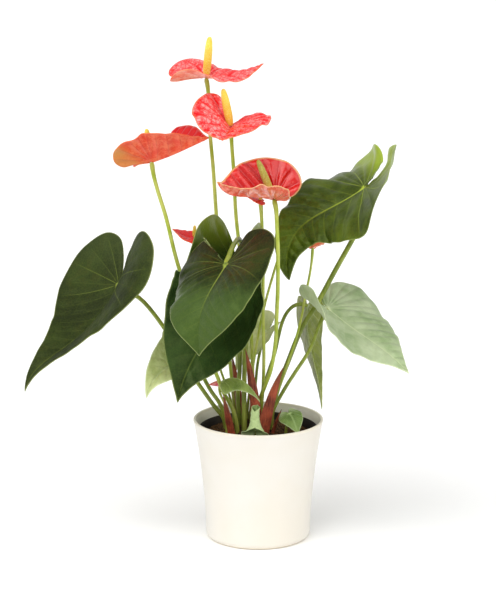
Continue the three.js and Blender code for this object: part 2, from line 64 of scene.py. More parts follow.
# ------------------------------------------------------------------ forms of half a blade
# outline: pairs (u, v). u runs along the midrib from the stalk (0) to the tip (1), with the
# basal lobe behind it (below 0); v is the distance from the midrib, both over the length.
# veins: where the side veins reach the margin, as places in the outline's list of points.
# bold: how strongly each of them shows.

LEAF = dict(
    outline=[
        (1, 0), (0.93, 0.028), (0.82, 0.085), (0.66, 0.2), (0.5, 0.315), (0.33, 0.415),
        (0.15, 0.475), (-0.05, 0.485), (-0.23, 0.42), (-0.34, 0.28), (-0.32, 0.14),
        (-0.2, 0.05), (-0.08, 0.012), (0, 0),
    ],
    veins=[
        0, 1.15, 1.8, 2.25, 2.7, 3.1, 3.55, 4, 4.4, 4.85, 5.5, 6.3, 7.2, 8.1, 9.1, 10.3, 11.6, 13,
    ],
    bold=[
        0, 0.1, 0.15, 0.15, 0.2, 0.2, 0.2, 0.25, 0.2, 0.25, 1, 0.2, 0.9, 0.3, 0.8, 0.3, 0.2, 0,
    ],
)
SPATHE = dict(
    outline=[
        (1, 0), (0.95, 0.03), (0.86, 0.1), (0.7, 0.23), (0.52, 0.35), (0.33, 0.44),
        (0.13, 0.49), (-0.06, 0.48), (-0.2, 0.4), (-0.28, 0.26), (-0.25, 0.12),
        (-0.15, 0.04), (-0.06, 0.01), (0, 0),
    ],
    veins=[0, 1.3, 2.1, 2.8, 3.5, 4.2, 4.9, 5.7, 6.6, 7.6, 8.7, 10, 11.4, 13],
    bold=[0, 0.5, 0.6, 0.7, 0.8, 0.8, 0.9, 1, 0.9, 1, 0.8, 0.6, 0.4, 0],
)
SHEATH = dict(
    outline=[(1, 0), (0.75, 0.05), (0.45, 0.09), (0.15, 0.1), (0, 0.08)],
    veins=[0, 0.7, 1.4, 2.1, 2.8, 3.4, 4],
    bold=[0, 1, 1, 1, 1, 1, 0],
)

# ------------------------------------------------------------------ the plant
# at: where the stalk meets the blade, or where a sheath starts. length: from there to the tip.
# width, lobe: factors on the outline's width and on the length of its basal lobes.
# belly: how much fuller the blade is in its middle. open: how wide the notch between the
# lobes is. quilt: how deep the blade sinks at its veins, over the distance between them. Where
# lobe, belly, open or quilt is a pair, it is (left, right).
# pitch, yaw, roll: the midrib's heading, as keys evenly spaced along it.
# left, right: each half's keys of its fold along the midrib, then those of its curl.
# wave: how much the margin ripples, over the length.
# slot, finish, spike: the blade's slot, and the finishes of the blade and of the spadix.
# path, radius: the stalk's centre line, from the blade to the soil, and its radius.
# tip, thick: the end and the diameter of the spadix.

LEAVES = {
    "leaf_left": dict(
        at=[-148, -6, 279], length=156, width=1.01, lobe=1.05, belly=-0.2,
        pitch=[-70, -63, -55, -41, -30, -33, -75], yaw=[-120, -160], roll=[-15, 15],
        left=[[50, 44, 8], [-75, -55, -35]], right=[[5, 15], [0, 10]],
        slot="leaf_mature", radius=2.3, finish="Satin leaf", quilt=0.035, wave=0.004,
        path=[
            [-148, -6, 279], [-141, 12, 269], [-125, 22, 256], [-102, 20, 227], [-78, 18, 185],
            [-60, 16, 158], [-47, 13, 140], [-37, 12, 127], [-34, 12, 106],
        ],
    ),
    "leaf_front": dict(
        at=[-33, -104, 320], length=106, width=1.25, lobe=[1.1, 1], belly=0.5, open=[0, 0.95],
        pitch=[-65, -35, -60, -115], yaw=[-110, -120, -132, -95], roll=[-10, 0],
        left=[[25, 15], [-5, -40]], right=[[5, 15], [-25, -70]],
        slot="leaf_mature", radius=2.6, finish="Glossy leaf", quilt=0.04, wave=0.008,
        path=[
            [-33, -102, 320], [-30, -76, 325], [-25, -30, 328], [-20, 8, 325], [-16, 23, 310],
            [-11, 17, 270], [-13, 4, 221], [-15, -4, 176], [-15, -6, 126], [-15, -6, 106],
        ],
    ),
    "leaf_lower": dict(
        at=[-24, 13, 298], length=165, width=1.1, lobe=0.75, belly=0.35,
        pitch=[-55, -78, -43, -77], yaw=[-120, -145], roll=[30, 50],
        left=[[60, 15], [50, 60]], right=[[38, 20], [60, 25]],
        slot="leaf_mature", radius=2.4, finish="Dark leaf", quilt=0.045, wave=0.006,
        path=[
            [-24, 15, 297], [-22, 16, 285], [-20, 12, 255], [-20, 6, 209], [-20, 4, 183],
            [-22, 5, 154], [-20, 5, 124], [-20, 5, 106],
        ],
    ),
    "leaf_lower_left": dict(
        at=[-71, 20, 217], length=95, width=0.9, lobe=1, belly=0.1,
        pitch=[-55, -57, -15, -78], yaw=[-108, -145], roll=[30, 30],
        left=[[20, 13], [0, 0]], right=[[38, 32], [22, 29]],
        slot="leaf_young", radius=2.2, finish="New leaf", quilt=0.08, wave=0.008,
        path=[
            [-71, 21, 216], [-69, 22, 205], [-61, 14, 178], [-51, 5, 160], [-42, 4, 147],
            [-35, 4, 129], [-33, 4, 106],
        ],
    ),
    "leaf_behind": dict(
        at=[9, 53, 214], length=56, width=1, lobe=1, belly=0,
        pitch=[-50, -40, -50, -65], yaw=[-175, -160], roll=[25, 40],
        left=[[30, 15], [20, 5]], right=[[15, 10], [5, 0]],
        slot="leaf_young", radius=1.6, finish="New leaf", quilt=0.08, wave=0.008,
        path=[
            [9, 54, 213], [5, 56, 202], [0, 48, 182], [-4, 35, 149], [-8, 28, 131], [-8, 27, 106],
        ],
    ),
    "leaf_upper_right": dict(
        at=[112, 9, 381], length=143, width=1.4, lobe=[0.9, 1.15],
        belly=[-0.42, -0.5], open=[0.2, 0.3],
        pitch=[-70, -35, -35, -120], yaw=[-135, -175, -120], roll=[-10, 30, 30],
        left=[[43, 10, 0], [35, 5, -5]], right=[[-10, 5, 25], [-5, -50, 15]],
        slot="leaf_mature", radius=2.7, finish="Bright leaf", quilt=[0.15, 0.12], wave=0.022,
        path=[
            [112, 10, 380], [117, 17, 369], [113, 27, 346], [104, 32, 326], [83, 28, 288],
            [64, 24, 253], [47, 19, 226], [33, 15, 192], [23, 12, 166], [13, 10, 137],
            [10, 9, 125], [9, 9, 106],
        ],
    ),
    "leaf_right": dict(
        at=[74, 16, 249], length=117, width=1.25, lobe=0.55, belly=0.1,
        pitch=[5, -30, -25, -40], yaw=[-30, -35], roll=[-15, -30],
        left=[[-5, -10], [15, -70]], right=[[25, 5], [90, 20]],
        slot="leaf_young", radius=2, finish="Pale leaf", quilt=[0.12, 0.07], wave=0.007,
        path=[
            [74, 15, 248], [66, 6, 234], [55, -1, 207], [39, -4, 182], [28, -4, 164],
            [16, -3, 140], [13, -3, 125], [12, -3, 106],
        ],
    ),
    "leaf_hanging": dict(
        at=[53, 32, 248], length=120, width=0.6, lobe=0.15, belly=-0.15,
        pitch=[-70, -85, -105, -95], yaw=[200, 200], roll=[65, 65],
        left=[[-60, -60], [0, 0]], right=[[-70, -65], [0, 0]],
        slot="leaf_young", radius=1.9, finish="Hanging leaf", quilt=[0.05, 0.03], wave=0.003,
        path=[
            [53, 31, 248], [47, 30, 250], [38, 29, 248], [31, 28, 241], [26, 26, 231],
            [22, 24, 216], [18, 21, 198], [11, 19, 177], [3, 17, 149], [1, 17, 129], [1, 17, 106],
        ],
    ),
    "leaf_young_front": dict(
        at=[-3, -42, 130], length=29, width=1.25, lobe=1.2, belly=0.8,
        pitch=[30, 55, 85, 92, 90, 60, 0], yaw=[75, 70], roll=[-15, -10],
        left=[[-20, 0, 0, 0], [10, 110, 235, 250]], right=[[-20, 0, 0, 0], [10, 110, 235, 250]],
        slot="leaf_young", radius=1.3, finish="Trumpet leaf", quilt=0.08, wave=0.01,
        path=[[-3, -41, 129], [-3, -40, 120], [-3, -39, 106]],
    ),
    "leaf_young_right": dict(
        at=[33, -22, 142], length=30, width=0.9, lobe=0.85, belly=0.05,
        pitch=[-15, -15, -45, -50], yaw=[-65, -65], roll=[-20, -10],
        left=[[-10, 0], [-20, -15]], right=[[-15, 0], [-25, -10]],
        slot="leaf_young", radius=1.3, finish="Trumpet leaf", quilt=0.08, wave=0.01,
        path=[[33, -21, 141], [32, -17, 135], [30, -14, 124], [29, -13, 106]],
    ),
    "leaf_young_arching": dict(
        at=[-38, -29, 180], length=53, width=0.7, lobe=0.25, belly=0,
        pitch=[55, 32, -36, -66], yaw=[-15, -10], roll=[0, 0],
        left=[[-30, -20], [-20, -20]], right=[[-35, -40], [-20, -30]],
        slot="leaf_mature", radius=1.3, finish="Shoot leaf", quilt=0.07, wave=0.006,
        path=[[-38, -28, 179], [-37, -22, 167], [-30, -16, 150], [-25, -15, 134], [-23, -14, 106]],
    ),
}

FLOWERS = {
    "flower_top": dict(
        at=[-55, 26, 495], length=63, width=1.25, lobe=1.9, belly=0,
        pitch=[35, 0, 15, 30], yaw=[0, -5], roll=[-15, -10],
        left=[[40, -10], [-25, -60]], right=[[40, -10], [20, -25]],
        slot="spathe_pale", radius=2, tip=[-51, 22, 538], thick=8,
        finish="Pink spathe", spike="Ripe spadix", quilt=[0.14, 0.1], wave=0.013,
        path=[
            [-55, 26, 494], [-53, 27, 481], [-51, 28, 434], [-48, 31, 397], [-45, 34, 348],
            [-39, 35, 266], [-32, 30, 200], [-25, 20, 128], [-24, 20, 106],
        ],
    ),
    "flower_second": dict(
        at=[-29, 4, 446], length=70, width=1.25, lobe=1.3, belly=0.3,
        pitch=[0, 0, -5, -5], yaw=[-90, -100], roll=[5, -5],
        left=[[35, 5], [-20, 0]], right=[[65, 5], [15, 5]],
        slot="spathe_pale", radius=2, tip=[-37, 0, 486], thick=8,
        finish="Pink spathe", spike="Ripe spadix", quilt=[0.16, 0.2], wave=0.02,
        path=[
            [-29, 5, 445], [-28, 10, 425], [-26, 16, 395], [-24, 26, 350], [-21, 29, 320],
            [-15, 27, 270], [-8, 18, 223], [-6, 11, 170], [-7, 8, 128], [-7, 8, 106],
        ],
    ),
    "flower_left": dict(
        at=[-113, 20, 407], length=72, width=1.45, lobe=1.45, belly=0.3,
        pitch=[30, 20, 25, 25], yaw=[-15, -25], roll=[20, 10],
        left=[[30, 45], [10, 5]], right=[[10, 25], [15, -10]],
        slot="spathe_red", radius=2.1, tip=[-118, 16, 442], thick=7,
        finish="Salmon spathe", spike="Ripe spadix", quilt=0.24, wave=0.016,
        path=[
            [-113, 20, 406], [-111, 18, 393], [-107, 14, 378], [-98, 10, 349], [-86, 0, 302],
            [-62, -8, 230], [-55, -15, 212], [-50, -22, 199], [-43, -18, 180], [-38, -11, 164],
            [-27, -9, 142], [-23, -8, 123], [-22, -8, 106],
        ],
    ),
    "flower_front": dict(
        at=[16, -35, 376], length=76, width=1.15, lobe=[0.6, 1], belly=0,
        pitch=[30, 15, 8, 55], yaw=[-190, -125], roll=[35, 35],
        left=[[45, 60], [20, 10]], right=[[36, 20], [8, -5]],
        slot="spathe_red", radius=2.1, tip=[-1, -38, 417], thick=7,
        finish="Ruffled spathe", spike="Green spadix", quilt=[0.2, 0.36], wave=0.018,
        path=[
            [16, -36, 375], [18, -39, 366], [19, -44, 348], [20, -47, 325], [20, -44, 281],
            [19, -36, 251], [18, -26, 220], [13, -17, 188], [7, -10, 169], [1, -4, 150],
            [-2, -1, 130], [-3, -1, 106],
        ],
    ),
    "flower_hidden": dict(
        at=[2, -9, 370], length=17, width=1, lobe=1, belly=0,
        pitch=[10, 15, 20, 20], yaw=[-170, -165], roll=[-5, -5],
        left=[[-35, -20], [0, 0]], right=[[10, 10], [0, 0]],
        slot="spathe_red", radius=1.8, tip=[3, -14, 392], thick=5,
        finish="Red spathe", spike="Ripe spadix", quilt=0.1, wave=0.01,
        path=[
            [2, -8, 369], [3, -5, 356], [4, -3, 335], [5, 0, 300], [5, 2, 250], [6, 3, 200],
            [5, 4, 160], [2, 5, 128], [2, 5, 106],
        ],
    ),
    "flower_behind": dict(
        at=[-69, 35, 322], length=27, width=1.05, lobe=1, belly=0,
        pitch=[0, 0, 30, 35], yaw=[195, 200], roll=[5, 15],
        left=[[5, -10], [-5, -10]], right=[[15, 15], [-5, 0]],
        slot="spathe_red", radius=1.3, tip=[-68, 31, 336], thick=4,
        finish="Red spathe", spike="Ripe spadix", quilt=0.1, wave=0.01,
        path=[
            [-69, 36, 321], [-67, 39, 306], [-62, 40, 265], [-48, 34, 199], [-30, 28, 144],
            [-27, 28, 128], [-26, 28, 106],
        ],
    ),
    "flower_right": dict(
        at=[58, 18, 315], length=23, width=1.05, lobe=1, belly=0,
        pitch=[25, 25, 25, 25], yaw=[-25, -25], roll=[20, 15],
        left=[[10, 10], [0, 0]], right=[[25, 15], [15, 5]],
        slot="spathe_red", radius=1.3, tip=[55, 19, 328], thick=4,
        finish="Faded spathe", spike="Ripe spadix", quilt=0.1, wave=0.02,
        path=[
            [58, 17, 314], [57, 16, 300], [54, 16, 280], [50, 15, 261], [48, 13, 248], [45, 10, 234],
            [38, 6, 209], [30, 4, 186], [19, 3, 150], [15, 3, 127], [14, 3, 106],
        ],
    ),
}

BUDS = {
    "bud": dict(
        at=[-42, -9, 169], length=11, width=1, lobe=1, belly=0,
        pitch=[0, 0, 10, 10], yaw=[180, 180], roll=[0, 0],
        left=[[45, 45], [50, 50]], right=[[45, 45], [50, 50]],
        slot="bud_pink", radius=1.1, finish="Bud spathe", quilt=0.1, wave=0.01,
        path=[[-42, -9, 168], [-41, -9, 161], [-36, -11, 149], [-34, -12, 132], [-34, -12, 106]],
    ),
}

LONE_STALK = dict(
    radius=1.4,
    path=[
        [22, 34, 303], [17, 33, 285], [8, 30, 253], [1, 26, 222], [-4, 22, 193], [-10, 18, 152],
        [-12, 17, 130], [-12, 17, 106],
    ],
)

SHEATH_SHAPE = dict(
    lobe=1, belly=0, left=[[10, 10], [110, 110]], right=[[10, 10], [110, 110]],
    quilt=0.12, wave=0.004,
)
SHEATHS = {
    "sheath_left": dict(
        SHEATH_SHAPE, at=[-27, -19, 108], length=57, width=0.75,
        pitch=[82, 78, 78], yaw=[210, 210], roll=[-50, -50],
    ),
    "sheath_tall": dict(
        SHEATH_SHAPE, at=[0, -14, 108], length=106, width=0.6,
        pitch=[92, 84, 78], yaw=[200, 200], roll=[-60, -60],
    ),
    "sheath_right": dict(
        SHEATH_SHAPE, at=[3, -22, 108], length=88, width=0.75,
        pitch=[90, 78, 66], yaw=[10, 10], roll=[100, 100],
    ),
    "sheath_back": dict(
        SHEATH_SHAPE, at=[-17, 13, 108], length=93, width=0.5,
        pitch=[90, 84, 80], yaw=[190, 190], roll=[-75, -75],
    ),
    "sheath_small": dict(
        SHEATH_SHAPE, at=[13, -12, 108], length=38, width=0.5,
        pitch=[84, 74, 66], yaw=[5, 5], roll=[95, 95],
    ),
}

# ------------------------------------------------------------------ curves and blades

FIRST_U = -0.5
LAST_U = 1
SPINE_POINTS = 361
STALK_POINT = (SPINE_POINTS - 1) // 3  # the midrib's point where u is 0
ROW_POWER = 1.4  # above 1, rows lie closer together near the midrib
VEIN_SLOPE = 0.84  # how far a side vein runs forward, over how far it runs outwards
BELLY_SHAPE = 6.75  # makes the highest value of u * u * (1 - u) one
FIELDS = ("vein_at", "bold", "gap", "reach", "edge", "rib", "along", "quilt")


def padded(knots):
    """The knots with one more at each end, in line with the two next to it."""
    return np.concatenate([[2 * knots[0] - knots[1]], knots, [2 * knots[-1] - knots[-2]]])


def along_knots(knots, x):
    """Catmull-Rom values at places x on a list of knots."""
    last = len(knots) - 1
    i = np.clip(x.astype(int), 0, last - 1)
    t = x - i
    if knots.ndim > 1:
        t = t[..., None]
    ends = padded(knots)
    a, b, c, d = (ends[i + k] for k in range(4))
    curved = (2 * a - 5 * b + 4 * c - d) * t**2 + (3 * b - a - 3 * c + d) * t**3
    return 0.5 * (2 * b + (c - a) * t + curved)


def along_spine(u):
    """How far along the whole midrib u is, from 0 to 1."""
    return (u - FIRST_U) / (LAST_U - FIRST_U)


def keyed(keys, u):
    """Smooth values at u of keys that are evenly spaced along the midrib."""
    places = np.clip(along_spine(u), 0, 1) * (len(keys) - 1)
    return along_knots(np.asarray(keys, float), places)


def directions(plan, u):
    """The midrib's unit vectors at u: ahead, across and up from the blade."""
    pitch, yaw, roll = (np.radians(keyed(plan[key], u)) for key in ("pitch", "yaw", "roll"))
    flat = np.cos(pitch)
    ahead = np.stack([flat * np.cos(yaw), flat * np.sin(yaw), np.sin(pitch)], -1)
    level = np.stack([np.sin(yaw), -np.cos(yaw), np.zeros_like(yaw)], -1)
    upright = np.cross(level, ahead)
    cos, sin = np.cos(roll)[..., None], np.sin(roll)[..., None]
    return ahead, level * cos + upright * sin, upright * cos - level * sin


def midrib(plan):
    """Points of the midrib from its first u to its last, with u = 0 at the stalk."""
    u = np.linspace(FIRST_U, LAST_U, SPINE_POINTS)
    ahead = directions(plan, u)[0]
    steps = (ahead[1:] + ahead[:-1]) / 2 * (u[1] - u[0]) * plan["length"]
    points = np.concatenate([np.zeros((1, 3)), np.cumsum(steps, 0)])
    return points - points[STALK_POINT] + np.array(plan["at"], float)


def blade_points(plan, spine, u, v, side):
    """Points of one half of the blade; side is 1 for the right half and -1 for the left."""
    x = along_spine(u) * (SPINE_POINTS - 1)
    i = np.clip(np.floor(x).astype(int), 0, SPINE_POINTS - 2)
    centre = spine[i] + (spine[i + 1] - spine[i]) * (x - i)[..., None]
    _, across, up = directions(plan, u)
    folds, curls = plan["right"] if side > 0 else plan["left"]
    half = np.radians(keyed(curls, u)) * v
    bend = np.radians(keyed(folds, u)) + half
    chord = v * plan["length"] * plan["width"] * np.sinc(half / np.pi)
    out = side * (chord * np.cos(bend))[..., None] * across
    return centre + out + (chord * np.sin(bend))[..., None] * up


def swell(belly, along):
    """How much wider the outline is at places along the midrib, for a blade's belly."""
    return np.where(along > 0, 1 + belly * BELLY_SHAPE * along**2 * (1 - along), 1)


def blade_grid(plan, form, rows, between):
    """Both halves of a blade as grids of points that follow its side veins."""
    numbers = range(len(form["veins"]))
    vein_at = np.linspace(0, numbers[-1], numbers[-1] * between + 1)
    places = np.interp(vein_at, numbers, form["veins"])
    edge = along_knots(np.array(form["outline"], float), places)
    bold = np.interp(vein_at, numbers, form["bold"])
    reach = np.linspace(0, 1, rows + 1) ** ROW_POWER
    along, out = edge[:, 0], np.maximum(edge[:, 1], 0)
    spine = midrib(plan)
    pairs = [np.broadcast_to(plan.get(key, 0), 2) for key in ("lobe", "open", "belly", "quilt")]
    mean_belly = pairs[2].mean()
    halves = []
    for side in (1, -1):
        lobe, opening, belly, quilt = (pair[int(side > 0)] for pair in pairs)
        u_edge = np.where(along < 0, along * lobe, along)
        v_edge = np.maximum(out * swell(belly, along), -along * opening)
        foot = np.maximum(u_edge - VEIN_SLOPE * out * swell(mean_belly, along), 0)
        u = foot[:, None] + reach * (u_edge - foot)[:, None]
        v = reach * v_edge[:, None]
        points = blade_points(plan, spine, u, v, side)
        run = np.linalg.norm(points[:, -1] - points[:, 0], axis=-1)
        behind = np.maximum(-u, 0) * plan["length"]
        ones = np.ones_like(u)
        halves.append({
            "side": side,
            "points": points,
            "vein_at": vein_at[:, None] * ones,
            "bold": bold[:, None] * ones,
            "gap": np.linalg.norm(np.gradient(points, axis=0), axis=-1) * between,
            "reach": reach * ones,
            "edge": run[:, None] * (1 - reach),
            "rib": np.hypot(v * (plan["length"] * plan["width"]), behind),
            "along": u,
            "quilt": quilt * ones,
        })
    return halves


def joined_sheet(halves):
    """One sheet from both halves, which share the midrib: points, fields and faces."""
    points = np.concatenate([h["points"].reshape(-1, 3) for h in halves])
    fields = {name: np.concatenate([h[name].ravel() for h in halves]) for name in FIELDS}
    _, kept, where = np.unique(np.round(points, 4), axis=0, return_index=True, return_inverse=True)
    where = where.ravel()
    faces = []
    start = 0
    for half in halves:
        columns, rows = half["vein_at"].shape
        ids = where[start : start + columns * rows].reshape(columns, rows)
        start += columns * rows
        corners = [ids[:-1, :-1], ids[1:, :-1], ids[1:, 1:], ids[:-1, 1:]]
        if half["side"] < 0:
            corners.reverse()
        faces.append(np.stack([c.ravel() for c in corners], -1))
    return points[kept], {k: f[kept] for k, f in fields.items()}, clean_faces(np.concatenate(faces))


def clean_faces(quads):
    """Faces as lists, without repeated corners and without faces that have shrunk to a line."""
    faces = []
    for quad in quads.tolist():
        face = [p for k, p in enumerate(quad) if p != quad[k - 1]]
        if len(set(face)) == len(face) > 2:
            faces.append(face)
    return faces


def unit(vectors):
    """The vectors at a length of one; those without a length stay nought."""
    return vectors / np.maximum(np.linalg.norm(vectors, axis=1, keepdims=True), 1e-12)


def sheet_normals(points, faces):
    """A unit normal for each point, and the border's edges."""
    normals = np.zeros_like(points)
    border = {}
    for face in faces:
        corners = points[face]
        normal = np.cross(corners[2] - corners[0], corners[-1] - corners[1])
        if len(face) == 3:
            normal = np.cross(corners[1] - corners[0], corners[2] - corners[0])
        normals[face] += normal
        for k, a in enumerate(face):
            b = face[(k + 1) % len(face)]
            if border.pop((b, a), None) is None:
                border[(a, b)] = True
    return unit(normals), list(border)


def relief(plan, fields, look):
    """How far each point is lifted: domed between the veins, rippled towards the margin."""
    reach, at, turn = fields["reach"], fields["vein_at"], look["turn"]
    from_middle = np.abs(2 * (at % 1) - 1)
    depth = np.minimum(fields["quilt"] * fields["gap"], look["deepest"])
    # The dome ends just short of the midrib and fades at the margin.
    inner = np.clip((reach - 0.03) / 0.25, 0, 1) * np.clip((1.02 - reach) / 0.14, 0, 1)
    dome = depth * ((1 - from_middle**1.6) * inner - 0.4)
    ripple = np.sin(at * 2.1 + turn) + 0.6 * np.sin(at * 3.7 + 2 * turn)
    buckle = np.sin(at * 0.9 + reach * 5 + turn) * np.sin(reach * 7 - at * 0.5 + turn)
    wave = plan["wave"] * plan["length"] * np.clip((0.95 - fields["along"]) / 0.5, 0, 1)
    return dome + wave * (ripple * reach**3 + 0.5 * buckle * reach)


def margin(points, normals, border):
    """Each border point's place in the rim, and the directions that lead out of the sheet."""
    rim_ids = {}
    outward = np.zeros_like(points)
    for a, b in border:
        along = points[b] - points[a]
        along /= max(np.linalg.norm(along), 1e-12)
        for end in (a, b):
            rim_ids.setdefault(end, len(rim_ids))
            outward[end] += np.cross(along, normals[end])
    return rim_ids, unit(outward[list(rim_ids)])


def blade_mesh(name, plan, form, look):
    """A closed, thin blade with sunken veins, a midrib underneath and a rounded margin."""
    halves = blade_grid(plan, form, look["rows"], look["between"])
    points, fields, faces = joined_sheet(halves)
    normals, border = sheet_normals(points, faces)
    shift, half = relief(plan, fields, look), look["thick"] / 2
    ahead = np.clip(1.05 - fields["along"], 0, 1)
    ridge = look["rib"] * ahead * np.exp(-((fields["rib"] / (1.6 * look["rib"] + 0.2)) ** 2))
    groove = 0.3 * ridge * np.clip(fields["reach"] * 40, 0, 1)
    top = points + normals * (shift + half - groove)[:, None]
    bottom = points + normals * (shift - half - ridge)[:, None]
    rim_ids, outward = margin(points, normals, border)
    ring = list(rim_ids)
    rim = (top[ring] + bottom[ring]) / 2 + outward * half * 0.9
    count = len(points)
    solid = [list(face) for face in faces]
    solid += [[p + count for p in reversed(face)] for face in faces]
    for a, b in border:
        edge_a, edge_b = 2 * count + rim_ids[a], 2 * count + rim_ids[b]
        solid.append([b, a, edge_a, edge_b])
        solid.append([edge_b, edge_a, a + count, b + count])
    mesh = solid_mesh(name, np.concatenate([top, bottom, rim]), solid)
    for key, values in fields.items():
        add_field(mesh, key, np.concatenate([values, values, values[ring]]))
    upper = np.concatenate([np.ones(count), np.zeros(count), np.full(len(ring), 0.5)])
    add_field(mesh, "upper", upper)
    return mesh


def solid_mesh(name, points, faces):
    """A smoothly shaded mesh from points in millimetres."""
    mesh = bpy.data.meshes.new(name)
    mesh.from_pydata((points * MM).tolist(), [], faces)
    mesh.polygons.foreach_set("use_smooth", np.ones(len(faces), bool))
    return mesh


def add_field(mesh, name, values):
    """Keeps a number at each point of a mesh, for its material to read."""
    mesh.attributes.new(name, "FLOAT", "POINT").data.foreach_set("value", values.astype(np.float32))


def smooth_path(points, step):
    """Points about a step apart on the curve that passes through the given ones."""
    ends = padded(np.array(points, float))
    places = np.concatenate([[0], np.cumsum(np.linalg.norm(np.diff(ends, axis=0), axis=1) ** 0.5)])
    found = []
    for i in range(1, len(ends) - 2):
        t0, t1, t2, t3 = places[i - 1 : i + 3]
        p0, p1, p2, p3 = ends[i - 1 : i + 3]
        pieces = max(2, round(np.linalg.norm(p2 - p1) / step))
        for t in np.linspace(t1, t2, pieces, endpoint=False):
            a = (p0 * (t1 - t) + p1 * (t - t0)) / (t1 - t0)
            b = (p1 * (t2 - t) + p2 * (t - t1)) / (t2 - t1)
            c = (p2 * (t3 - t) + p3 * (t - t2)) / (t3 - t2)
            d = (a * (t2 - t) + b * (t - t0)) / (t2 - t0)
            e = (b * (t3 - t) + c * (t - t1)) / (t3 - t1)
            found.append((d * (t2 - t) + e * (t - t1)) / (t2 - t1))
    return np.array([*found, ends[-2]])


# ------------------------------------------------------------------ node trees


class Socket:
    """An output of a node that can stand in a sum."""

    def __init__(self, nodes, socket):
        self.nodes = nodes
        self.socket = socket

    def _math(self, operation, *values):
        return self.nodes.add("ShaderNodeMath", dict(enumerate(values)), operation=operation)

    def __add__(self, other):
        return self._math("ADD", self, other)

    def __sub__(self, other):
        return self._math("SUBTRACT", self, other)

    def __rsub__(self, other):
        return self._math("SUBTRACT", other, self)

    def __mul__(self, other):
        return self._math("MULTIPLY", self, other)

    def __truediv__(self, other):
        return self._math("DIVIDE", self, other)

    def __pow__(self, other):
        return self._math("POWER", self, other)

    def __abs__(self):
        return self._math("ABSOLUTE", self)

    __radd__ = __add__
    __rmul__ = __mul__

    def call(self, operation):
        """A Math operation on this value alone, such as SINE or FRACT."""
        return self._math(operation, self)


class Nodes:
    """Adds nodes to a tree."""

    def __init__(self, tree):
        self.tree = tree

    def add(self, kind, values=None, out=0, **settings):
        """A node's output. Its settings come first, then its sockets' values or links."""
        node = self.tree.nodes.new(kind)
        for name, value in settings.items():
            setattr(node, name, value)
        for name, value in (values or {}).items():
            if isinstance(value, Socket):
                self.tree.links.new(value.socket, node.inputs[name])
            else:
                node.inputs[name].default_value = value
        return Socket(self, node.outputs[out]) if len(node.outputs) else None

    def smooth(self, value, low, high):
        """0 below low, 1 above high, and an even change between them."""
        values = {"Value": value, "From Min": low, "From Max": high}
        return self.add("ShaderNodeMapRange", values, interpolation_type="SMOOTHSTEP")

    def height(self, place):
        """How high a place is."""
        return self.add("ShaderNodeSeparateXYZ", {"Vector": place}, "Z")


def as_colour(value):
    """What a colour socket takes, from a link, a screen code or (red, green, blue)."""
    if isinstance(value, Socket):
        return value
    return (*(tone(value) if isinstance(value, str) else value), 1)


class Finish(Nodes):
    """A material's nodes, with the look they read. Its place is a point's, in metres."""

    def __init__(self, name, look):
        self.look = look
        self.material = bpy.data.materials.new(name)
        self.material.use_nodes = True
        super().__init__(self.material.node_tree)
        self.tree.nodes.clear()
        self.place = self.add("ShaderNodeTexCoord", out="Object")

    def noise(self, scale, detail=3, roughness=0.55, place=None):
        values = {"Scale": scale, "Detail": detail, "Roughness": roughness}
        return self.add("ShaderNodeTexNoise", {"Vector": place or self.place, **values})

    def cells(self, scale):
        """How far a point is from the edge of its cell, in a pattern of irregular cells."""
        values = {"Vector": self.place, "Scale": scale}
        return self.add("ShaderNodeTexVoronoi", values, feature="DISTANCE_TO_EDGE")

    def stretched(self, scale):
        """The place, with each of its three parts multiplied."""
        return self.add("ShaderNodeMapping", {"Vector": self.place, "Scale": scale})

    def field(self, name):
        """A number that the mesh keeps at its points."""
        return self.add("ShaderNodeAttribute", out="Fac", attribute_name=name)

    def upper(self):
        """1 on a blade's upper side and 0 underneath."""
        return self.smooth(self.field("upper"), 0.45, 0.55)

    def from_vein(self):
        """0 on a blade's side veins and a half midway between two of them."""
        return abs((self.field("vein_at") + 0.5).call("FRACT") - 0.5)

    def blend(self, mask, first, second):
        """The first colour where the mask is 0, the second where it is 1."""
        values = {0: mask, 6: as_colour(first), 7: as_colour(second)}
        return self.add("ShaderNodeMix", values, 2, data_type="RGBA")

    def layers(self, base, *layers):
        """One of the look's colours, with others of them laid over it where their masks are 1."""
        colour = self.look[base]
        for mask, name in layers:
            colour = self.blend(mask, colour, self.look[name])
        return colour

    def close(self, colour, roughness, height, depth, **constants):
        """The material, with its shader. A height of 1 stands out by the depth, in metres."""
        bump = self.add("ShaderNodeBump", {"Height": height, "Strength": 1, "Distance": depth})
        values = {"Base Color": colour, "Roughness": roughness, "Normal": bump}
        for name, value in constants.items():
            values[name.replace("_", " ").title().replace("Ior", "IOR")] = value
        shader = self.add("ShaderNodeBsdfPrincipled", values)
        self.add("ShaderNodeOutputMaterial", {"Surface": shader})
        return self.material


# ------------------------------------------------------------------ finishes

FLARE_POWER = 1.8  # above 1, the cover pot's wall leans out more and more towards its rim


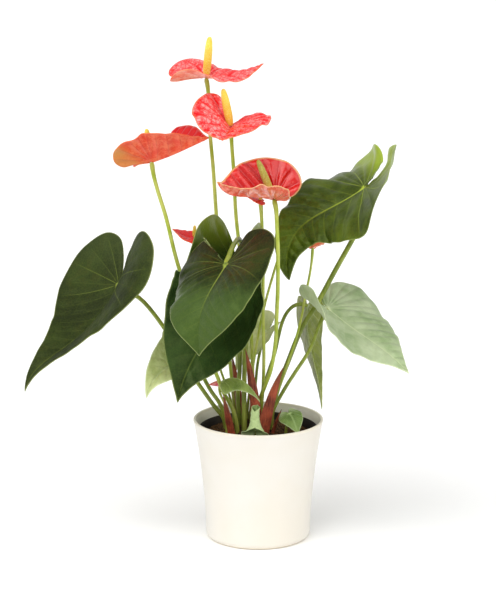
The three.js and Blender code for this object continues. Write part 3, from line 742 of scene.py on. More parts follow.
def leaf_finish(name, look):
    """Leaf green with paler veins, a fine pale margin and a lighter, duller underside, with painted
    light and shade on the basal lobes and, where a look asks for it, a painted highlight over the
    lower half of the blade.
    """
    nodes = Finish(name, look)
    gap, edge, rib = nodes.field("gap"), nodes.field("edge"), nodes.field("rib")
    bold, along, upper = nodes.field("bold"), nodes.field("along"), nodes.upper()
    away = nodes.from_vein() * gap
    line = (1 - nodes.smooth(away, 0.1, look["vein_width"])) * bold
    line = line * nodes.smooth(edge, 1, 14) * nodes.smooth(gap, 0.3, 3)
    line = line * (1 - nodes.field("reach") * look["vein_fade"])
    halo = (1 - nodes.smooth(away, 0, 4)) * bold
    main = 1 - nodes.smooth(rib, 0.35, look["rib_width"])
    main = main * (1 - nodes.smooth(along, 0.05, 0.7) * look["rib_fade"])
    heart = 1 - nodes.smooth(rib + abs(along) * 60, 2.2, 5)
    cloud, pucker, fine = nodes.noise(26), nodes.noise(95, 2, 0.5), nodes.noise(260, 4, 0.6)
    net = 1 - nodes.smooth(nodes.cells(330), 0, 0.12)
    green = nodes.layers(
        "deep",
        (nodes.smooth(cloud, 0.38, 0.66), "light"),
        (nodes.smooth(pucker, 0.35, 0.75) * look["blotch"], "light"),
        (nodes.smooth(cloud * 0.5 + pucker * 0.5, 0.5, 0.62) * 0.25, "tint"),
        (halo * 0.3, "light"),
        # painted highlight: the blade's lower half is coloured a lighter green where a broad
        # highlight lies
        (nodes.smooth(along + pucker * 0.2, 0.25, 0.6) * look["painted_highlight_show"], "painted_highlight"),
        # painted light and shade: the basal lobes take their own colour, lighter on lobes that catch
        # the light, darker on the front leaf's shaded lobes
        (nodes.smooth(0 - along, 0, 0.3) * look["lobe_light_and_shade_show"], "lobe"),
        (net * 0.05, "vein"),
        (line * look["vein_show"], "vein"),
        (main * look["rib_show"], "vein"),
        (heart * 0.85, "vein"),
        ((1 - nodes.smooth(edge, 0.35, 0.9)) * look["rim_show"], "rim"),
    )
    back = nodes.layers(
        "under",
        (nodes.smooth(cloud, 0.3, 0.7), "under_light"),
        (line * 0.6 + main * 0.7, "vein"),
        (net * 0.12, "deep"),
    )
    rough = look["gloss"] + fine * 0.08 + cloud * 0.1 + (1 - upper) * 0.18
    height = pucker * look["pucker"] + fine * 0.1 - net * 0.06 - line * 0.5
    return nodes.close(
        nodes.blend(upper, back, green), rough, height, 0.5 * MM,
        specular_ior_level=look["shine"], specular_tint=as_colour(look["sheen"]),
        coat_weight=look["coat"], coat_roughness=0.2,
    )


def spathe_finish(name, look):
    """Waxy bract, mottled between sunken veins; the underside is duller and more orange."""
    nodes = Finish(name, look)
    gap, edge, bold = nodes.field("gap"), nodes.field("edge"), nodes.field("bold")
    upper, between = nodes.upper(), nodes.from_vein()
    line = (1 - nodes.smooth(between * gap, 0.15, 0.8)) * bold * nodes.smooth(edge, 0.5, 6)
    line = line * nodes.smooth(gap, 0.3, 2.5)
    main = 1 - nodes.smooth(nodes.field("rib"), 0.4, 1.4)
    cloud, fine = nodes.noise(90, 4, 0.65), nodes.noise(420, 3, 0.6)
    fleck = nodes.smooth(nodes.noise(650, 2), 0.6, 0.7)
    blister = nodes.smooth(nodes.cells(210), 0.02, 0.22)
    patch = cloud + (fine - 0.5) * 0.35 + (between - 0.25) * look["crest"]
    wide = nodes.smooth(nodes.noise(26, 2), 0.38, 0.6)
    mottle = nodes.smooth(patch, 0.34, 0.58) * look["mottle"] * (wide * 0.55 + 0.45)
    mottle = mottle * (1 - (1 - blister) * look["net"])
    rim = 1 - nodes.smooth(edge + (cloud - 0.5) * 2, 0.3, look["rim_width"])
    rim = rim * look["rim_show"]
    ends = nodes.smooth(0 - nodes.field("along"), 0.02, 0.3) * look["green_lobes"]
    red = nodes.layers(
        "deep",
        (mottle, "light"),
        (fleck * mottle * 0.7, "fleck"),
        ((line * 0.8 + main * 0.5) * look["vein_show"], "vein"),
        (rim, "rim"),
    )
    back = nodes.layers(
        "under",
        (nodes.smooth(cloud + (fine - 0.5) * 0.6, 0.38, 0.64), "under_light"),
        ((line + main * 0.6) * 0.4, "under_vein"),
        (ends * (0.7 + wide * 0.3), "lobe"),
        (rim, "rim"),
    )
    rough = look["gloss"] + fine * 0.12 + (1 - upper) * 0.18
    height = fine * 0.3 + cloud * 0.5 - line * 0.4 + blister * look["net"] * 0.7
    return nodes.close(
        nodes.blend(upper, back, red), rough, height, 0.35 * MM,
        specular_ior_level=0.4, specular_tint=as_colour(look["sheen"]),
        coat_weight=look["coat"], coat_roughness=0.12,
    )


def stalk_finish(name, look):
    """Smooth green stalk with fine lengthwise streaks, duller and browner at its foot."""
    nodes = Finish(name, look)
    streak = nodes.noise(420, 3, 0.6, nodes.stretched((1, 1, 0.08)))
    foot = 1 - nodes.smooth(nodes.height(nodes.place), 0.115, look["foot_height"])
    green = nodes.layers(
        "deep",
        (nodes.smooth(nodes.noise(45), 0.35, 0.65), "light"),
        (nodes.smooth(streak, 0.4, 0.75) * 0.35, "streak"),
        (foot * 0.6, "foot"),
    )
    return nodes.close(
        green, 0.34 + streak * 0.16, streak, 0.15 * MM,
        specular_ior_level=0.4, coat_weight=0.1, coat_roughness=0.25,
    )


def spadix_finish(name, look):
    """Close florets whose colour runs from foot to tip, with darker and paler patches."""
    nodes = Finish(name, look)
    fine = nodes.noise(900, 2)
    colour = nodes.layers(
        "foot",
        (nodes.smooth(nodes.field("along"), 0.05, 0.95), "tip"),
        (nodes.smooth(nodes.noise(110), 0.4, 0.7) * 0.35, "shade"),
        (nodes.smooth(fine, 0.45, 0.65) * 0.5, "pale"),
    )
    return nodes.close(colour, 0.42 + fine * 0.2, fine, 0.1 * MM, specular_ior_level=0.35)


def sheath_finish(name, look):
    """Papery red-brown bract with lengthwise fibres and a dry brown margin."""
    nodes = Finish(name, look)
    fibre = nodes.noise(900, 3, 0.65, nodes.stretched((1, 1, 0.06)))
    tip = nodes.smooth(nodes.field("along"), 0.55, 1)
    dry = 1 - nodes.smooth(nodes.field("edge"), 0.1, 1)
    colour = nodes.layers(
        "deep",
        (nodes.smooth(nodes.noise(70), 0.35, 0.65), "light"),
        (nodes.smooth(fibre, 0.4, 0.7) * 0.5, "fibre"),
        (dry * 0.5 + tip * 0.4, "dry"),
    )
    return nodes.close(colour, 0.45 + fibre * 0.25, fibre, 0.25 * MM, specular_ior_level=0.35)


def glaze_finish(name, look):
    """Satin cream glaze, thinner and warmer where it runs off the rim, with painted light inside the
    pot: the shaded inner wall is coloured a whiter cream.
    """
    nodes = Finish(name, look)
    height = nodes.height(nodes.place)
    drift, grain, orange_peel = nodes.noise(9), nodes.noise(700, 2), nodes.noise(160, 2)
    rim = nodes.smooth(height, look["height"] - 4 * MM, look["height"] - 0.5 * MM)
    foot = 1 - nodes.smooth(height, 0.5 * MM, 3 * MM)
    flat = {"Vector": nodes.stretched((1, 1, 0))}
    radius = nodes.add("ShaderNodeVectorMath", flat, "Value", operation="LENGTH")
    middle = (height / look["height"]) ** FLARE_POWER * look["flare"] + look["middle"]
    colour = nodes.layers(
        "cream",
        (nodes.smooth(drift, 0.35, 0.65), "warm"),
        # painted light: a whiter cream on the inner wall, which lies in shade
        (1 - nodes.smooth(radius - middle, -0.5 * MM, 0.5 * MM), "inside"),
        (nodes.smooth(grain, 0.72, 0.8) * 0.18, "speck"),
        (rim * 0.35, "thin"),
        (foot * 0.7, "bare"),
    )
    return nodes.close(
        colour, look["gloss"] + drift * 0.08 + foot * 0.3, orange_peel * 0.6 + grain * 0.15,
        0.12 * MM, specular_ior_level=0.45, coat_weight=0.25, coat_roughness=0.18,
    )


def plastic_finish(name, look):
    """Thin black moulded plastic, dusty near its rim."""
    nodes = Finish(name, look)
    grain = nodes.noise(1200, 2)
    dusty = nodes.smooth(nodes.noise(60, 4, 0.65), 0.45, 0.7)
    dusty = dusty * nodes.smooth(nodes.height(nodes.place), 0.09, 0.12)
    masks = (nodes.smooth(grain, 0.3, 0.8) * 0.3, "grey"), (dusty * 0.35, "dust")
    rough = 0.42 + grain * 0.15 + dusty * 0.2
    return nodes.close(
        nodes.layers("black", *masks), rough, grain, 0.06 * MM, specular_ior_level=0.4
    )


def soil_finish(name, look):
    """Moist peat: dark and lighter browns in crumbs of several sizes."""
    nodes = Finish(name, look)
    lump, fine = nodes.noise(130, 5, 0.7), nodes.noise(800, 4, 0.7)
    colour = nodes.layers(
        "deep",
        (nodes.smooth(lump, 0.35, 0.65), "light"),
        (nodes.smooth(fine, 0.5, 0.8) * 0.5, "fibre"),
        (nodes.smooth(nodes.noise(420, 2), 0.62, 0.7) * 0.45, "fleck"),
    )
    rough = 0.82 + fine * 0.15
    return nodes.close(colour, rough, lump + fine * 0.5, 1.1 * MM, specular_ior_level=0.2)


def floor_finish(name, look):
    """Plain pale paper floor."""
    nodes = Finish(name, look)
    grain = nodes.noise(60, 2)
    colour = nodes.layers("floor", (grain * 0.3, "floor_shade"))
    return nodes.close(colour, 0.75 + grain * 0.1, grain, 0.05 * MM, specular_ior_level=0.1)


# ------------------------------------------------------------------ growth by geometry nodes

GOLDEN_ANGLE = 2.399963
LATHE_RADIUS = 0.001


class Growth(Nodes):
    """A tree of geometry nodes with named inputs, from its geometry to a finished mesh."""

    def __init__(self, name, sizes):
        super().__init__(bpy.data.node_groups.new(name, "GeometryNodeTree"))
        sockets = self.tree.interface
        sockets.new_socket("Geometry", in_out="INPUT", socket_type="NodeSocketGeometry")
        for label, default in sizes.items():
            kind = "NodeSocketInt" if isinstance(default, int) else "NodeSocketFloat"
            socket = sockets.new_socket(label, in_out="INPUT", socket_type=kind)
            socket.default_value = default
        sockets.new_socket("Material", in_out="INPUT", socket_type="NodeSocketMaterial")
        sockets.new_socket("Geometry", in_out="OUTPUT", socket_type="NodeSocketGeometry")
        self.entry = self.tree.nodes.new("NodeGroupInput")

    def size(self, name):
        """One of the tree's named inputs."""
        return Socket(self, self.entry.outputs[name])

    def mark(self, geometry, name, value):
        """Keeps a number at each point, for the material to read."""
        values = {"Geometry": geometry, "Name": name, "Value": value}
        settings = {"data_type": "FLOAT", "domain": "POINT"}
        return self.add("GeometryNodeStoreNamedAttribute", values, **settings)

    def xyz(self, x, y, z):
        return self.add("ShaderNodeCombineXYZ", {"X": x, "Y": y, "Z": z})

    def swept(self, path, section, scale):
        """A capped mesh, from a section that follows a path."""
        values = {"Curve": path, "Profile Curve": section, "Scale": scale, "Fill Caps": True}
        return self.add("GeometryNodeCurveToMesh", values)

    def circle(self, sides, radius=1.0):
        return self.add("GeometryNodeCurvePrimitiveCircle", {"Resolution": sides, "Radius": radius})

    def ball(self):
        return self.add("GeometryNodeMeshIcoSphere", {"Radius": 1.0, "Subdivisions": 1})

    def copies(self, points, instance, turn, size):
        """One copy of the instance at each point."""
        values = {"Points": points, "Instance": instance, "Rotation": turn, "Scale": size}
        return self.add("GeometryNodeInstanceOnPoints", values)

    def end(self, geometry, smooth=True):
        """Real meshes with their material, at the tree's output."""
        whole = self.add("GeometryNodeRealizeInstances", {"Geometry": geometry})
        values = {"Geometry": whole, "Shade Smooth": smooth}
        shaded = self.add("GeometryNodeSetShadeSmooth", values)
        values = {"Geometry": shaded, "Material": self.size("Material")}
        finished = self.add("GeometryNodeSetMaterial", values)
        self.add("NodeGroupOutput", {"Geometry": finished})
        return self.tree


def grown(name, data, tree, sizes):
    """The plain mesh that a tree grows from an object's data."""
    source = bpy.data.objects.new(name + "_seed", data)
    bpy.context.scene.collection.objects.link(source)
    modifier = source.modifiers.new("Growth", "NODES")
    modifier.node_group = tree
    for item in tree.interface.items_tree:
        if item.item_type == "SOCKET" and item.in_out == "INPUT" and item.name in sizes:
            modifier[item.identifier] = sizes[item.name]
    evaluated = source.evaluated_get(bpy.context.evaluated_depsgraph_get())
    mesh = bpy.data.meshes.new_from_object(evaluated)
    mesh.name = name
    source.modifiers.remove(modifier)
    bpy.data.objects.remove(source)
    return mesh


def stalk_tree():
    """Sweeps a round section along a path, with its two ends wider or narrower."""
    sizes = {"Radius": 0.002, "Top Swell": 0.2, "Foot Swell": 0.2, "Sides": 14}
    tree = Growth("Stalk", sizes)
    length = tree.add("GeometryNodeSplineParameter", out="Length")
    total = tree.add("GeometryNodeSplineLength")
    top = 1 - tree.smooth(length, 0, 0.022)
    foot = 1 - tree.smooth(total - length, 0, 0.05)
    tip = tree.smooth(length, -0.0008, 0.0012)
    swelling = 1 + top * tree.size("Top Swell") + foot * tree.size("Foot Swell")
    radius = tree.size("Radius") * swelling * (0.55 + tip * 0.45)
    section = tree.circle(tree.size("Sides"))
    return tree.end(tree.swept(tree.size("Geometry"), section, radius))


def spadix_tree():
    """A tapered column closely set with florets on a spiral."""
    sizes = {
        "Length": 0.04, "Diameter": 0.008, "Florets": 900, "Floret Size": 0.0006, "Seed": 3,
    }
    tree = Growth("Spadix", sizes)

    def column(t):
        """The column's radius at a share of its length, a little short of nought at its ends."""
        return tree.size("Diameter") * 0.765 * (t + 0.0005) ** 0.25 * (1.0005 - t) ** 0.33

    line = tree.add("GeometryNodeCurvePrimitiveLine", {"End": (0, 0, 1)})
    line = tree.add("GeometryNodeResampleCurve", {"Curve": line, "Count": 40})
    share = tree.add("GeometryNodeSplineParameter", out="Factor")
    line = tree.mark(line, "along", share)
    up = tree.xyz(0, 0, share * tree.size("Length"))
    line = tree.add("GeometryNodeSetPosition", {"Geometry": line, "Position": up})
    core = tree.swept(line, tree.circle(24), column(share) * 0.96)

    index = tree.add("GeometryNodeInputIndex")
    t = ((index + 0.5) / tree.size("Florets")) ** 1.03
    angle = index * GOLDEN_ANGLE
    east, north, radius = angle.call("COSINE"), angle.call("SINE"), column(t)
    spot = tree.xyz(radius * east, radius * north, t * tree.size("Length"))
    points = tree.add("GeometryNodePoints", {"Count": tree.size("Florets"), "Position": spot})
    facing = {"Vector": tree.xyz(east, north, ((t * 2 - 1) ** 7) * 2.5)}
    turn = tree.add("FunctionNodeAlignRotationToVector", facing, axis="Z")
    values = {2: 0.8, 3: 1.15, 8: tree.size("Seed")}
    vary = tree.add("FunctionNodeRandomValue", values, 1, data_type="FLOAT")
    narrow = 0.45 + tree.smooth(radius, 0, 0.0035) * 0.55
    size = vary * tree.size("Floret Size") * narrow
    florets = tree.copies(tree.mark(points, "along", t), tree.ball(), turn, size)
    both = tree.add("GeometryNodeJoinGeometry", {0: florets})
    tree.tree.links.new(core.socket, both.socket.node.inputs[0])
    return tree.end(both)


def lathe_tree():
    """Turns a profile, drawn as a curve, round the upright axis."""
    tree = Growth("Lathe", {"Sides": 128})
    ring = tree.circle(tree.size("Sides"), LATHE_RADIUS)
    values = {"Curve": ring, "Profile Curve": tree.size("Geometry")}
    body = tree.add("GeometryNodeCurveToMesh", values)
    body = tree.add("GeometryNodeFlipFaces", {"Mesh": body})
    values = {"Geometry": body, "Distance": 0.00001}
    return tree.end(tree.add("GeometryNodeMergeByDistance", values))


def crumb_tree():
    """Scatters irregular crumbs over the faces of a mesh."""
    tree = Growth("Crumbs", {"Crumbs Per Square Metre": 200000.0, "Crumb Size": 0.0016, "Seed": 5})
    values = {
        "Mesh": tree.size("Geometry"), "Density": tree.size("Crumbs Per Square Metre"),
        "Seed": tree.size("Seed"),
    }
    points = tree.add("GeometryNodeDistributePointsOnFaces", values)
    place = tree.add("GeometryNodeInputPosition")
    noise = tree.add("ShaderNodeTexNoise", {"Vector": place, "Scale": 1.4}, "Color")
    values = {0: noise, 1: (0.5, 0.5, 0.5)}
    offset = tree.add("ShaderNodeVectorMath", values, operation="SUBTRACT")
    offset = tree.add("ShaderNodeVectorMath", {0: offset, "Scale": 1.3}, operation="SCALE")
    lump = tree.add("GeometryNodeSetPosition", {"Geometry": tree.ball(), "Offset": offset})
    values = {1: (math.tau,) * 3, 8: tree.size("Seed")}
    turn = tree.add("FunctionNodeRandomValue", values, data_type="FLOAT_VECTOR")
    values = {0: (0.35, 0.35, 0.3), 1: (1.3, 1.2, 0.9), 8: tree.size("Seed") + 7}
    vary = tree.add("FunctionNodeRandomValue", values, data_type="FLOAT_VECTOR")
    values = {0: vary, "Scale": tree.size("Crumb Size")}
    size = tree.add("ShaderNodeVectorMath", values, operation="SCALE")
    return tree.end(tree.copies(points, lump, turn, size), smooth=False)


# ------------------------------------------------------------------ pieces


def show(name, mesh, material, slot, *nodes):
    """Puts a finished mesh in the scene as a piece that stands for the given solids."""
    mesh.materials.clear()
    mesh.materials.append(material)
    piece = bpy.data.objects.new(name, mesh)
    bpy.context.scene.collection.objects.link(piece)
    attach(piece, "root")
    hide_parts(*nodes)


def path_curve(name, points):
    """A curve object's data through points given in millimetres."""
    curve = bpy.data.curves.new(name, "CURVE")
    curve.dimensions = "3D"
    spline = curve.splines.new("POLY")
    spline.points.add(len(points) - 1)
    for point, place in zip(spline.points, points):
        point.co = (*(np.array(place) * MM), 1)
    return curve


def sizes_of(group):
    """One group of the sizes and colours that the user can change."""
    return getattr(bpy.context.scene.flamingo_flower, group)


# ------------------------------------------------------------------ sizes and colours

MATURE_GREEN = tone("1e280b")
YOUNG_GREEN = tone("859a6c")
SPATHE_RED = tone("dc0a10")


def a_number(name, description, default, **kind):
    return FloatProperty(name=name, description=description, default=default, **kind)


def a_length(name, description, default):
    return a_number(name, description, default, unit="LENGTH")


def a_colour(name, description, default):
    return FloatVectorProperty(
        name=name, description=description, default=default, subtype="COLOR", min=0, max=1
    )


class PotSizes(bpy.types.PropertyGroup):
    """The cover pot and the nursery pot inside it."""

    height: a_length("Height", "Height of the cover pot", 0.131)
    foot_radius: a_length("Foot radius", "Radius of the cover pot at its foot", 0.0565)
    flare: a_length("Flare", "How much larger the cover pot's radius is at its rim", 0.0135)
    wall: a_length("Wall", "Thickness of the cover pot's wall", 0.003)
    cream: a_colour("Glaze", "Colour of the cover pot's glaze", tone("dad6ce"))
    black: a_colour("Nursery pot", "Colour of the nursery pot", tone("1d1814"))


class SoilSizes(bpy.types.PropertyGroup):
    """The soil and its crumbs."""

    edge_height: a_length("Edge height", "Height of the soil at the nursery pot's wall", 0.112)
    mound: a_length("Mound", "How much higher the soil is in the middle", 0.012)
    crumb: a_length("Crumb", "Radius of a usual crumb", 0.0014)
    crumbs: a_number("Crumbs", "Crumbs on a square metre of soil", 360000.0)
    seed: IntProperty(name="Seed", description="Changes where the crumbs lie", default=5)
    peat: a_colour("Peat", "Main colour of the soil", tone("38261a"))


class LeafSizes(bpy.types.PropertyGroup):
    """The leaves and their stalks."""

    thickness: a_length("Thickness", "Thickness of a leaf", 0.0007)
    midrib: a_length("Midrib", "How far a large leaf's midrib stands out underneath", 0.0009)
    mature: a_colour("Mature leaf", "Dark green of the grown leaves", MATURE_GREEN)
    young: a_colour("Young leaf", "Grey green of the young leaves", YOUNG_GREEN)
    stalk: a_colour("Leaf stalk", "Olive green of a leaf's stalk", tone("6c7c20"))


class FlowerSizes(bpy.types.PropertyGroup):
    """The red spathes, their spadices and stalks."""

    thickness: a_length("Thickness", "Thickness of a spathe", 0.0008)
    floret: a_length("Floret", "Radius of one floret of a spadix", 0.00055)
    red: a_colour("Red", "Red of the open spathes", SPATHE_RED)
    pink: a_colour("Pink", "Pale mottling between an older spathe's veins", tone("fba3a0"))
    yellow: a_colour("Spadix", "Yellow at the foot of a ripe spadix", tone("e2c030"))
    stalk: a_colour("Flower stalk", "Yellow green of a flower's stalk", tone("98ac22"))


class StageSizes(bpy.types.PropertyGroup):
    """Camera, light and floor."""

    camera: FloatVectorProperty(
        name="Camera", description="Where the camera stands", default=(-0.011, -2.2, 0.741),
        subtype="TRANSLATION",
    )
    pitch: a_number(
        "Pitch", "How far the camera looks down", math.radians(12.47), subtype="ANGLE"
    )
    lens: a_number("Lens", "The camera's focal length in millimetres", 124.5, unit="CAMERA")
    walls: a_number("Walls", "Strength of the light from all round", 0.68)
    ceiling: a_number("Ceiling", "Strength of the light from overhead", 0.42)
    key: a_number("Key light", "Strength of the main light, from the front left", 1.8)
    left: a_number("Left light", "Strength of the light from the left", 1.0)
    right: a_number("Right light", "Strength of the light from the right", 1.3)
    floor: a_colour("Floor", "Colour of the floor", (0.97, 0.97, 0.965))


class FlamingoFlower(bpy.types.PropertyGroup):
    """Everything a user would change."""

    pots: PointerProperty(type=PotSizes)
    soil: PointerProperty(type=SoilSizes)
    leaves: PointerProperty(type=LeafSizes)
    flowers: PointerProperty(type=FlowerSizes)
    stage: PointerProperty(type=StageSizes)


# ------------------------------------------------------------------ operators

SMALL_LEAF = 60  # millimetres; a shorter leaf has a coarser mesh
SMALL_SPATHE = 40
FLORET_COVER = 0.62  # florets on a square as wide as one floret's radius
PATH_STEP = 3
STALK_SIDES = 16
END_SWELL = 0.3  # how much wider a stalk is where it meets its blade; a bare end is narrower
FOOT_SWELL = 0.25
CRUMB_REACH = 0.0585  # how far from the middle crumbs lie
FLOOR_REACH = 14  # half the floor's side, in metres
SENSOR_WIDTH = 36
POT_SIDES = 144
NURSERY_SIDES = 120
LIGHTS = {
    "key": dict(towards=(-0.4, -0.7, 0.9), spread=64),
    "left": dict(towards=(-0.65, -0.4, 0.75), spread=60),
    "right": dict(towards=(0.9, -0.5, 0.55), spread=60),
}


class PLANT_OT_cover_pot(bpy.types.Operator):
    """Turns the cream cover pot"""

    bl_idname = "plant.cover_pot"
    bl_label = "Cover pot"

    def execute(self, context):
        sizes = sizes_of("pots")
        height, foot, wall = sizes.height / MM, sizes.foot_radius / MM, sizes.wall / MM
        corner, lip, recess, floor = 6, wall / 2, 1.2, 4
        low, high, levels = 10, height - lip - 1, 26

        def radius(z):
            return foot + sizes.flare / MM * (max(z, 0) / height) ** FLARE_POWER

        profile = [(0, recess), (foot - corner - 3, recess), (foot - corner - 2.2, 0.1)]
        profile += arc((foot - corner, corner), corner, -90, 0, 8)
        profile += [(radius(z), z) for z in np.linspace(low, high, levels)]
        profile += arc((radius(height) - lip, height - lip), lip, 0, 180, 10)
        profile += [(radius(z) - wall, z) for z in np.linspace(high, low + 2, levels)]
        profile += arc((foot - wall - corner, floor + corner), corner, 0, -90, 6)
        profile += [(0, floor)]
        look = dict(
            cream=sizes.cream, warm="d8d2c6", speck="cfc2a4", thin="e2d6bb", bare="cdb994",
            # inside: painted light, a whiter cream for the shaded inner wall
            inside="faf6ea", height=sizes.height, flare=sizes.flare,
            middle=sizes.foot_radius - sizes.wall / 2, gloss=0.36,
        )
        material = glaze_finish("Cream glaze", look)
        mesh = turned("cover_pot", profile, material, POT_SIDES)
        show("cover_pot", mesh, material, "pot_cream", "pot")
        return {"FINISHED"}


class PLANT_OT_nursery_pot(bpy.types.Operator):
    """Turns the thin black nursery pot"""

    bl_idname = "plant.nursery_pot"
    bl_label = "Nursery pot"

    def execute(self, context):
        base, top, foot, rim, wall = 4.4, 121, 46.8, 64.2, 1.4
        band, step, bevel, levels = 8, 0.5, 0.7, 12

        def radius(z):
            return foot + (rim - foot) * (z - base) / (top - base)

        profile = [(0, base), (foot - 2, base), (foot, base + 2)]
        profile += [(radius(z) - step, z) for z in np.linspace(base + 4, top - band - 1, levels)]
        profile += [(radius(top - band), top - band), (rim, top - bevel), (rim - bevel, top)]
        profile += [(rim - wall + 0.2, top), (rim - wall, top - bevel)]
        profile += [(radius(z) - wall, z) for z in np.linspace(top - 3, base + 4, levels)]
        profile += [(foot - wall - 2, base + wall), (0, base + wall)]
        look = dict(black=sizes_of("pots").black, grey="2e2823", dust="5a4c3c")
        material = plastic_finish("Black plastic", look)
        mesh = turned("nursery_pot_shell", profile, material, NURSERY_SIDES)
        show("nursery_pot_shell", mesh, material, "nursery_black", "nursery_pot")
        return {"FINISHED"}


class PLANT_OT_soil(bpy.types.Operator):
    """Heaps the soil and scatters its crumbs"""

    bl_idname = "plant.soil"
    bl_label = "Soil"

    def execute(self, context):
        sizes = sizes_of("soil")
        look = dict(deep="1a120c", light=sizes.peat, fibre="5a4028", fleck="86704e")
        packed = soil_finish("Peat", look)
        look = dict(deep="3a2819", light="6e4f33", fibre="8a6844", fleck="a98a5e")
        loose = soil_finish("Loose peat", look)
        bed = soil_mesh(sizes)
        surface = bed.copy()
        show("soil_bed", bed, packed, "soil", "soil")
        keep_top(surface, sizes.edge_height - 0.002, CRUMB_REACH)
        crumbs = {
            "Crumbs Per Square Metre": sizes.crumbs, "Crumb Size": sizes.crumb,
            "Seed": sizes.seed, "Material": loose,
        }
        show("soil_crumbs", grown("soil_crumbs", surface, crumb_tree(), crumbs), loose, "soil")
        return {"FINISHED"}


class PLANT_OT_leaves(bpy.types.Operator):
    """Grows the leaf blades"""

    bl_idname = "plant.leaves"
    bl_label = "Leaf blades"

    def execute(self, context):
        sizes = sizes_of("leaves")
        finishes = {name: leaf_finish(name, look) for name, look in leaf_looks(sizes).items()}
        for place, (name, plan) in enumerate(LEAVES.items()):
            small = plan["length"] < SMALL_LEAF
            look = dict(
                thick=sizes.thickness / MM, rib=0.35 if small else sizes.midrib / MM, deepest=1.6,
                turn=place * 1.7, rows=18 if small else 36, between=6 if small else 8,
            )
            mesh = blade_mesh(name, plan, LEAF, look)
            show(name + "_lamina", mesh, finishes[plan["finish"]], plan["slot"], name + "_blade")
        return {"FINISHED"}


class PLANT_OT_spathes(bpy.types.Operator):
    """Grows the red spathes and the bud"""

    bl_idname = "plant.spathes"
    bl_label = "Spathes and bud"

    def execute(self, context):
        sizes = sizes_of("flowers")
        finishes = {name: spathe_finish(name, look) for name, look in spathe_looks(sizes).items()}
        for place, (name, plan) in enumerate({**FLOWERS, **BUDS}.items()):
            small = plan["length"] < SMALL_SPATHE
            look = dict(
                thick=sizes.thickness / MM, rib=0.2 if small else 0.5, deepest=2.4,
                turn=3 + place * 2.3, rows=16 if small else 34, between=6 if small else 10,
            )
            mesh = blade_mesh(name, plan, SPATHE, look)
            node = name if name in BUDS else name + "_spathe"
            show(name + "_bract", mesh, finishes[plan["finish"]], plan["slot"], node)
        return {"FINISHED"}


class PLANT_OT_spadices(bpy.types.Operator):
    """Grows the spadices, set with florets"""

    bl_idname = "plant.spadices"
    bl_label = "Spadices"

    def execute(self, context):
        sizes = sizes_of("flowers")
        looks = spadix_looks(sizes)
        finishes = {name: spadix_finish(name, look) for name, look in looks.items()}
        tree = spadix_tree()
        for name, plan in FLOWERS.items():
            material = finishes[plan["spike"]]
            start, end = Vector(plan["at"]) * MM, Vector(plan["tip"]) * MM
            start += (end - start).normalized() * MM
            axis = end - start
            thick = plan["thick"] * MM - sizes.floret
            area = math.pi * thick * axis.length
            florets = {
                "Length": axis.length - sizes.floret / 2, "Diameter": thick,
                "Florets": round(FLORET_COVER * area / sizes.floret**2),
                "Floret Size": sizes.floret, "Material": material,
            }
            mesh = grown(name + "_spike", one_point(), tree, florets)
            turn = Vector((0, 0, 1)).rotation_difference(axis).to_matrix().to_4x4()
            mesh.transform(Matrix.Translation(start) @ turn)
            show(name + "_spike", mesh, material, "spadix", name + "_spadix")
        return {"FINISHED"}


class PLANT_OT_stalks(bpy.types.Operator):
    """Sweeps the stalks of the leaves and flowers"""

    bl_idname = "plant.stalks"
    bl_label = "Stalks"

    def execute(self, context):
        look = dict(deep=sizes_of("leaves").stalk, light="8d9a34", streak="a8b454")
        leaf = stalk_finish("Leaf stalk", dict(look, foot="646226", foot_height=0.16))
        look = dict(deep=sizes_of("flowers").stalk, light="b4bd52", streak="cfd284")
        flower = stalk_finish("Flower stalk", dict(look, foot="7c7c2c", foot_height=0.2))
        tree = stalk_tree()
        for name, plan in {**LEAVES, **FLOWERS, **BUDS, "lone": LONE_STALK}.items():
            material, slot = (leaf, "leaf_stalk") if name in LEAVES else (flower, "flower_stalk")
            shape = {
                "Radius": plan["radius"] * MM, "Foot Swell": FOOT_SWELL, "Sides": STALK_SIDES,
                "Top Swell": -END_SWELL if plan is LONE_STALK else END_SWELL,
                "Material": material,
            }
            curve = path_curve(name, smooth_path(plan["path"], PATH_STEP))
            mesh = grown(name + "_stem", curve, tree, shape)
            show(name + "_stem", mesh, material, slot, name + "_stalk")
        return {"FINISHED"}


class PLANT_OT_sheaths(bpy.types.Operator):
    """Grows the papery sheaths among the feet of the stalks"""

    bl_idname = "plant.sheaths"
    bl_label = "Sheaths"

    def execute(self, context):
        look = dict(deep="5e1e10", light="9a4024", fibre="bc643c", dry="7a5030")
        material = sheath_finish("Sheath", look)
        for place, (name, plan) in enumerate(SHEATHS.items()):
            look = dict(thick=0.5, rib=0.3, deepest=0.3, turn=place * 1.3, rows=12, between=8)
            mesh = blade_mesh(name, plan, SHEATH, look)
            show(name + "_bract", mesh, material, "sheath", name)
        return {"FINISHED"}


